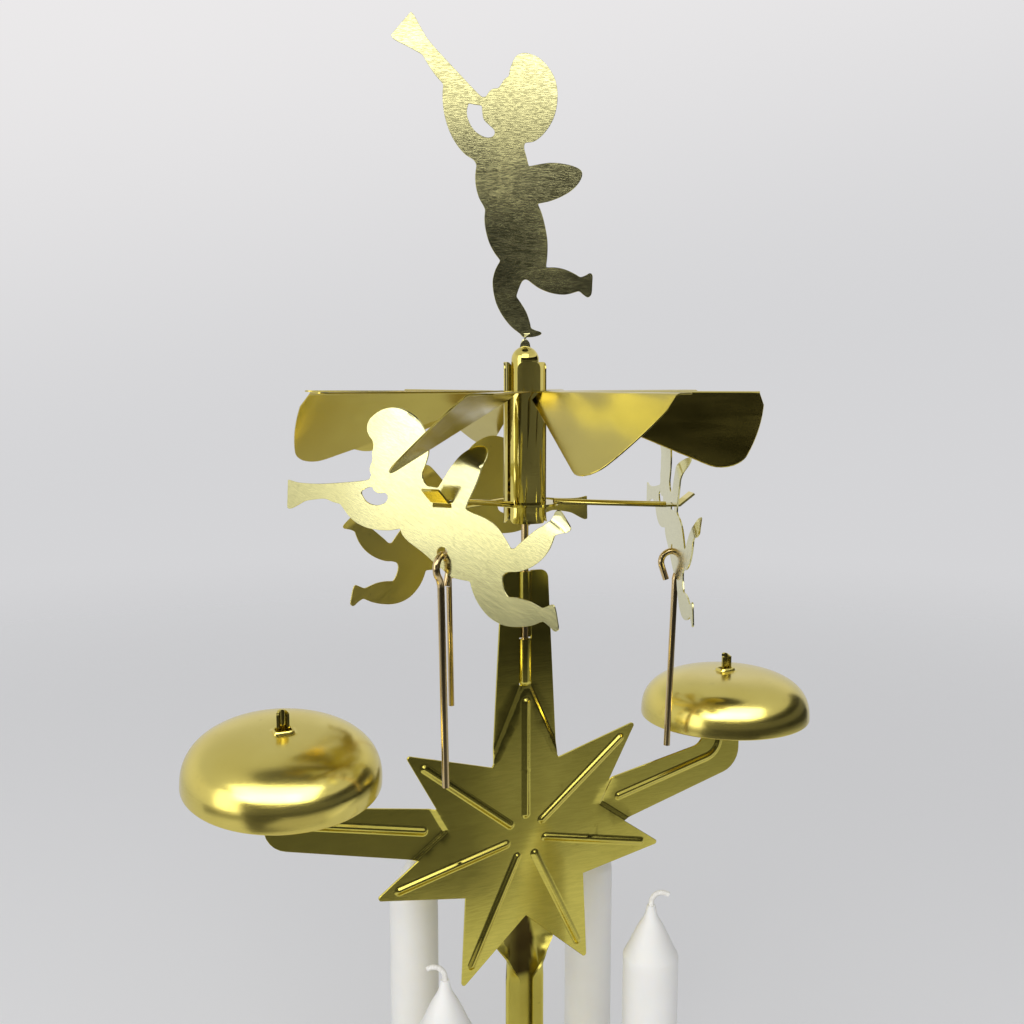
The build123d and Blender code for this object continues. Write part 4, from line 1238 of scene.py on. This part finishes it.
wing_across = np.linspace(-WING_HALF, WING_HALF, 9)
wing_rows = [tuple(WING_ROOT + WING_WAY * a + wing_side * b) for a in wing_along for b in wing_across]
flyer_flat, flyer_faces = fill([flyer_line], [arm_gap, arm_slot, hook_hole], spacing=1.3, rows=wing_rows)
CARRIER_Z, CARRIER_R, ARM_RUN, ARM_TURNS = 203.5, 8.0, 28.9, (-54.5, 72.5, 187.5)
ARM_LIFT, ANGEL_YAW, ANGEL_PITCH = (3.7, -1.2, -5.1), (-1.3, 6.1, 9.0), (0.7, 2.3, 2.4)
ANGEL_FLIP = (0.0, 180.0, 0.0)


def bend_wing(points, off):
    # Rolls the end of the wing out of the sheet; returns flat place and depth
    free = np.clip((points - WING_ROOT) @ WING_WAY - WING_START, 0, None)
    bent = np.clip(free, 0, WING_BENT)
    turn = bent * WING_BEND
    shift = np.sin(turn) / WING_BEND + (free - bent) * np.cos(turn) - free - off * np.sin(turn)
    flat = points + np.outer(shift, WING_WAY)
    return flat, off * np.cos(turn) - (1 - np.cos(turn)) / WING_BEND - (free - bent) * np.sin(turn)


def heading_vector(azimuth):
    return np.array(at(azimuth, 1.0, 0.0))


UP = np.array([0.0, 0.0, 1.0])
flyer_finish = (flyer_brass, flyer_brass, dull_flyer_brass)
for i in range(3):
    azimuth = ARM_TURNS[i]
    reach = CARRIER_R + ARM_RUN * cos(asin(ARM_LIFT[i] / ARM_RUN))
    origin = heading_vector(azimuth) * reach + UP * (CARRIER_Z + ARM_LIFT[i])
    facing = azimuth - ANGEL_YAW[i] + ANGEL_FLIP[i]
    pitch = radians(ANGEL_PITCH[i])

    def stand_up(points, off, origin=origin, facing=facing, pitch=pitch):
        flat, depth = bend_wing(points, off)
        x = flat[:, 0] * cos(pitch) - flat[:, 1] * sin(pitch)
        y = flat[:, 0] * sin(pitch) + flat[:, 1] * cos(pitch)
        return (origin + np.outer(x, heading_vector(facing + 90)) + np.outer(y, UP)
                + np.outer(depth, heading_vector(facing)))

    flyer_mesh = recalculated(shell("flyer", flyer_flat, flyer_faces, stand_up, THIN, THIN_WORN))
    piece(f"flyer_{i + 1}", flyer_mesh, flyer_finish[i], "rotor", [f"flying_angel_{i + 1}"])

# %% Top angel
tall_line = drawn_loop([
    (-26.35, 73.9, 1), (-31.0, 68.8, 1), (-30.5, 68.0), (-27.2, 66.3), (-23.8, 64.5, 1),
    (-22.8, 62.8), (-20.9, 60.0), (-19.0, 57.9, 1), (-19.2, 55.4), (-18.9, 51.6), (-17.8, 47.7),
    (-16.1, 44.5), (-14.1, 42.2), (-12.0, 40.8), (-11.4, 39.7, 1), (-11.7, 37.5), (-11.6, 35.1),
    (-10.9, 32.4), (-9.8, 30.4), (-9.4, 29.5, 1), (-9.6, 27.5), (-9.3, 24.8), (-8.5, 22.0),
    (-7.3, 19.7), (-5.9, 17.9, 1), (-7.1, 15.7), (-7.7, 13.2), (-7.5, 10.5), (-6.8, 7.8), (-5.4, 5.1),
    (-3.3, 2.5), (-1.1, 0.8, 1), (-0.6, 0.2), (1.7, 0.1), (3.8, 0.7), (3.9, 1.2), (2.4, 1.7),
    (1.4, 2.2, 1), (1.1, 3.6), (0.3, 5.9), (-0.9, 7.9), (-2.1, 9.6, 1), (-1.5, 11.4), (-0.6, 13.2),
    (0.3, 13.5), (1.7, 12.5), (3.6, 11.3), (6.4, 10.3), (9.5, 10.0), (12.7, 10.8, 1), (13.8, 9.9),
    (14.8, 9.3), (15.6, 10.0), (15.8, 12.5), (15.8, 14.7), (15.2, 15.0), (14.1, 14.4),
    (13.0, 14.0, 1), (11.7, 14.8), (9.5, 15.8), (7.1, 16.3), (4.9, 16.3, 1), (5.2, 19.0), (5.2, 22.5),
    (4.6, 26.0), (3.8, 28.9), (2.9, 30.9, 1), (5.8, 31.5), (8.8, 32.7), (11.4, 34.4), (13.0, 36.5),
    (13.2, 38.1), (12.0, 39.1), (9.2, 39.9), (6.0, 40.2), (3.4, 39.9), (0.8, 39.4, 1), (0.3, 41.4),
    (-0.3, 43.6), (-0.1, 44.7, 1), (2.2, 45.1), (4.5, 47.0), (6.3, 49.7), (7.2, 52.6), (7.4, 55.9),
    (6.8, 58.9), (5.3, 61.5), (3.3, 63.5), (1.1, 64.5), (-0.7, 64.7), (-2.2, 64.0), (-3.1, 62.4),
    (-3.6, 61.0), (-3.8, 59.6, 1), (-4.8, 59.0), (-5.7, 57.7), (-6.4, 56.9), (-7.3, 56.9),
    (-8.2, 56.4), (-9.1, 55.1, 1), (-10.0, 55.0), (-11.8, 56.6), (-15.2, 60.1), (-19.1, 64.1),
    (-22.5, 67.9), (-24.4, 71.0), (-25.7, 73.3),
])
horn_gap = drawn_loop([
    (-13.2, 53.6, 1), (-11.6, 53.3), (-10.1, 53.1, 1), (-10.0, 51.6), (-9.7, 50.0), (-8.3, 48.6),
    (-7.2, 47.5), (-7.3, 46.4), (-8.5, 45.9), (-10.1, 46.3), (-11.8, 47.5), (-13.1, 49.5),
    (-13.6, 51.6),
])
tall_flat, tall_faces = fill([tall_line], [horn_gap], spacing=1.5)
TOP_TURN, DOME_TOP, FOOT_RISE = -26.0, 241.0, 2.0


def stand_tall(points, off):
    origin = UP * (DOME_TOP + FOOT_RISE)
    return (origin + np.outer(points[:, 0], heading_vector(TOP_TURN + 90)) + np.outer(points[:, 1], UP)
            + np.outer(np.full(len(points), off), heading_vector(TOP_TURN)))


tall_mesh = recalculated(shell("tall", tall_flat, tall_faces, stand_tall, THIN, THIN_WORN))


TAB_SUNK, TAB_OVER, TAB_WIDE, TAB_WAIST, TAB_TWIST = 0.4, 1.4, 1.3, 0.25, 160


def twisted_tab():
    # The foot's tab turns nearly half round between the dome and the toe
    rings = []
    for t in np.linspace(0, 1, 15):
        z = DOME_TOP - TAB_SUNK + (FOOT_RISE + TAB_OVER) * t
        turn = radians(TOP_TURN + TAB_TWIST * np.clip((t - 0.2) / 0.8, 0, 1))
        x, y = TAB_WIDE - TAB_WAIST * sin(pi * t), THIN / 2
        rings.append([(a * cos(turn) - b * sin(turn), a * sin(turn) + b * cos(turn), z)
                      for a, b in ((-x, -y), (x, -y), (x, y), (-x, y))])
    return stacked("tab", rings)


tall_mesh = join_meshes("tall", [tall_mesh, twisted_tab()])
piece("top_angel_sheet", tall_mesh, angel_brass, "rotor", ["top_angel"])

# %% [markdown]
# ## Strikers
# A striker is drawn wire bent to a hook. A curve holds the bend, and a small tree sweeps a
# circle along it, so the wire keeps its gauge all the way round.

# %% Wire tree and strikers


def drawn_wire():
    inputs = (("Geometry", "Geometry"), ("Gauge", "Float"), ("Sides", "Int"), ("Finish", "Material"))
    tree, given, out = geometry_tree("drawn wire", inputs)
    profile = tree.nodes.new("GeometryNodeCurvePrimitiveCircle")
    link(tree, given.outputs["Sides"], profile.inputs["Resolution"])
    link(tree, given.outputs["Gauge"], profile.inputs["Radius"])
    swept = tree.nodes.new("GeometryNodeCurveToMesh")
    swept.inputs["Fill Caps"].default_value = True
    link(tree, given.outputs["Geometry"], swept.inputs["Curve"])
    link(tree, profile.outputs["Curve"], swept.inputs["Profile Curve"])
    hand_out(tree, swept.outputs[0], given, out)
    return tree


wire_tree = drawn_wire()


def wire_mesh(points, gauge, finish, sides=20):
    data = bpy.data.curves.new("wire", "CURVE")
    data.dimensions = "3D"
    line = data.splines.new("POLY")
    line.points.add(len(points) - 1)
    for spot, point in zip(line.points, points):
        spot.co = (*(Vector(point) * MM), 1.0)
    return recalculated(grown(wire_tree, {"Gauge": gauge * MM, "Sides": sides, "Finish": finish}, data))


WIRE_R, HOOK_R, HOOK_END, HOOK_BACK = 0.8, 2.7, 3.7, 4.0
HOOK_CLOSE, HOOK_LEAVE = radians(20), radians(42)
ROD_LENS, WIRE_CREASE = (51.7, 49.5, 43.0), 50


def round_point(angle, radius, centre):
    return np.array([centre[0] + radius * cos(angle), centre[1] + radius * sin(angle)])


def crook(length):
    # Free end, round the top, back under the hole and straight down, hung in balance
    middle = (0.0, -HOOK_R)
    line = [round_point(a, HOOK_R, middle) for a in np.linspace(pi + HOOK_CLOSE, -HOOK_LEAVE, 30)]
    close = np.array([sin(HOOK_CLOSE), -cos(HOOK_CLOSE)])
    line = [line[0] + close * HOOK_END * t for t in (1.0, 0.66, 0.33)] + line
    turn = round_point(-HOOK_LEAVE, HOOK_R + HOOK_BACK, middle)
    line += [round_point(a, HOOK_BACK, turn) for a in np.linspace(pi - HOOK_LEAVE, pi, 9)[1:]]
    line += [np.array([line[-1][0], y]) for y in np.linspace(line[-1][1], -length, 14)[1:]]
    line = np.array(line)
    runs = np.linalg.norm(np.diff(line, axis=0), axis=1)
    weight = ((line[:-1] + line[1:]) / 2 * runs[:, None]).sum(axis=0) / runs.sum()
    lean = -atan2(weight[0], -weight[1])
    return line @ np.array([[cos(lean), sin(lean)], [-sin(lean), cos(lean)]])


for i, length in enumerate(ROD_LENS):
    joint = joint_of[f"striker_swing_{i + 1}"]
    hang = np.array(joint["pos_m"]) / MM
    out = np.array(joint["axis"])
    wire = wire_mesh([hang + out * x + UP * y for x, y in crook(length)], WIRE_R, wire_brass)
    piece(f"striker_wire_{i + 1}", wire, wire_brass, f"striker_{i + 1}",
          [f"striker_{i + 1}"], crease=WIRE_CREASE)

# %% [markdown]
# ## Candles
# Dipped candles have a soft shoulder, a cone that draws in to a thin neck, and a wick that
# bends over at its end. The wax is a stack of rings on that profile; the wick is swept cotton.

# %% Candles and wicks
CANDLE_R, CANDLE_SIDES, CONE_H, CANDLE_CREASE = 6.5, 64, 12.4, 60
# Radius and height of the foot from the full radius and the base, and of the cone as shares
FOOT = ((-0.6, 0.0), (-0.1, 0.3), (0.0, 0.9))
CONE = ((1.0, 0.0), (0.985, 0.03), (0.95, 0.075), (0.90, 0.125), (0.82, 0.2), (0.735, 0.3), (0.65, 0.4),
        (0.55, 0.51), (0.45, 0.61), (0.36, 0.69), (0.27, 0.77), (0.21, 0.85), (0.175, 0.93), (0.15, 1.0))
WICK_R, WICK_SIDES, WICK_TURNS = 0.6, 12, (-116.0, 64.0, 64.0, 64.0)
WICK_SUNK, WICK_STRAIGHT, WICK_RISE, WICK_BEND, WICK_ARC = 3.0, 2.0, 3.6, 2.5, 128
for i in range(1, 5):
    low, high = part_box(f"candle_{i}")
    centre = ((low.x + high.x) / 2 / MM, (low.y + high.y) / 2 / MM)
    base, top = low.z / MM, high.z / MM
    shoulder = top - CONE_H
    profile = [(CANDLE_R + r, base + z) for r, z in FOOT]
    profile += [(CANDLE_R, z) for z in np.linspace(base + 4, shoulder - 2, 20)]
    profile += [(CANDLE_R * r, shoulder + CONE_H * z) for r, z in CONE]
    rings = [circle(r, z, CANDLE_SIDES, centre) for r, z in profile]
    candle = stacked("turned", [[(*centre, base)]] + rings + [[(*centre, top)]])
    piece(f"candle_wax_{i}", candle, wax, f"candle_{i}", [f"candle_{i}"], crease=CANDLE_CREASE)
    foot = np.array([*centre, top - WICK_SUNK])
    rise = foot + UP * WICK_RISE
    lean = heading_vector(WICK_TURNS[i - 1]) * WICK_BEND
    path = [foot, foot + UP * WICK_STRAIGHT]
    for turn in np.linspace(0, radians(WICK_ARC), 18):
        path.append(rise + lean * (1 - cos(turn)) + UP * WICK_BEND * sin(turn))
    wick = wire_mesh(path, WICK_R, cotton, WICK_SIDES)
    piece(f"wick_cotton_{i}", wick, cotton, f"candle_{i}", [f"wick_{i}"], crease=CANDLE_CREASE)

# %% [markdown]
# ## Pieces that stay as the CAD made them
# The tray, cups, rivets, needle, thimble and carrier already have their real shape, so they
# keep the CAD mesh and only take a finish.

# %% Dress the CAD nodes
KEPT = {
    "base_tray": tray_brass, "cup_rivets": hub_brass, "needle": wire_brass, "pivot_thimble": hub_brass,
    "angel_carrier": hub_brass,
}
KEPT.update({f"candle_cup_{i}": tray_brass for i in range(1, 5)})
for name, finish in KEPT.items():
    node = frame["nodes"][name]
    for index in range(len(node.material_slots)):
        node.material_slots[index].material = finish
    if not node.material_slots:
        node.data.materials.append(finish)
print("dressed CAD nodes:", len(KEPT))
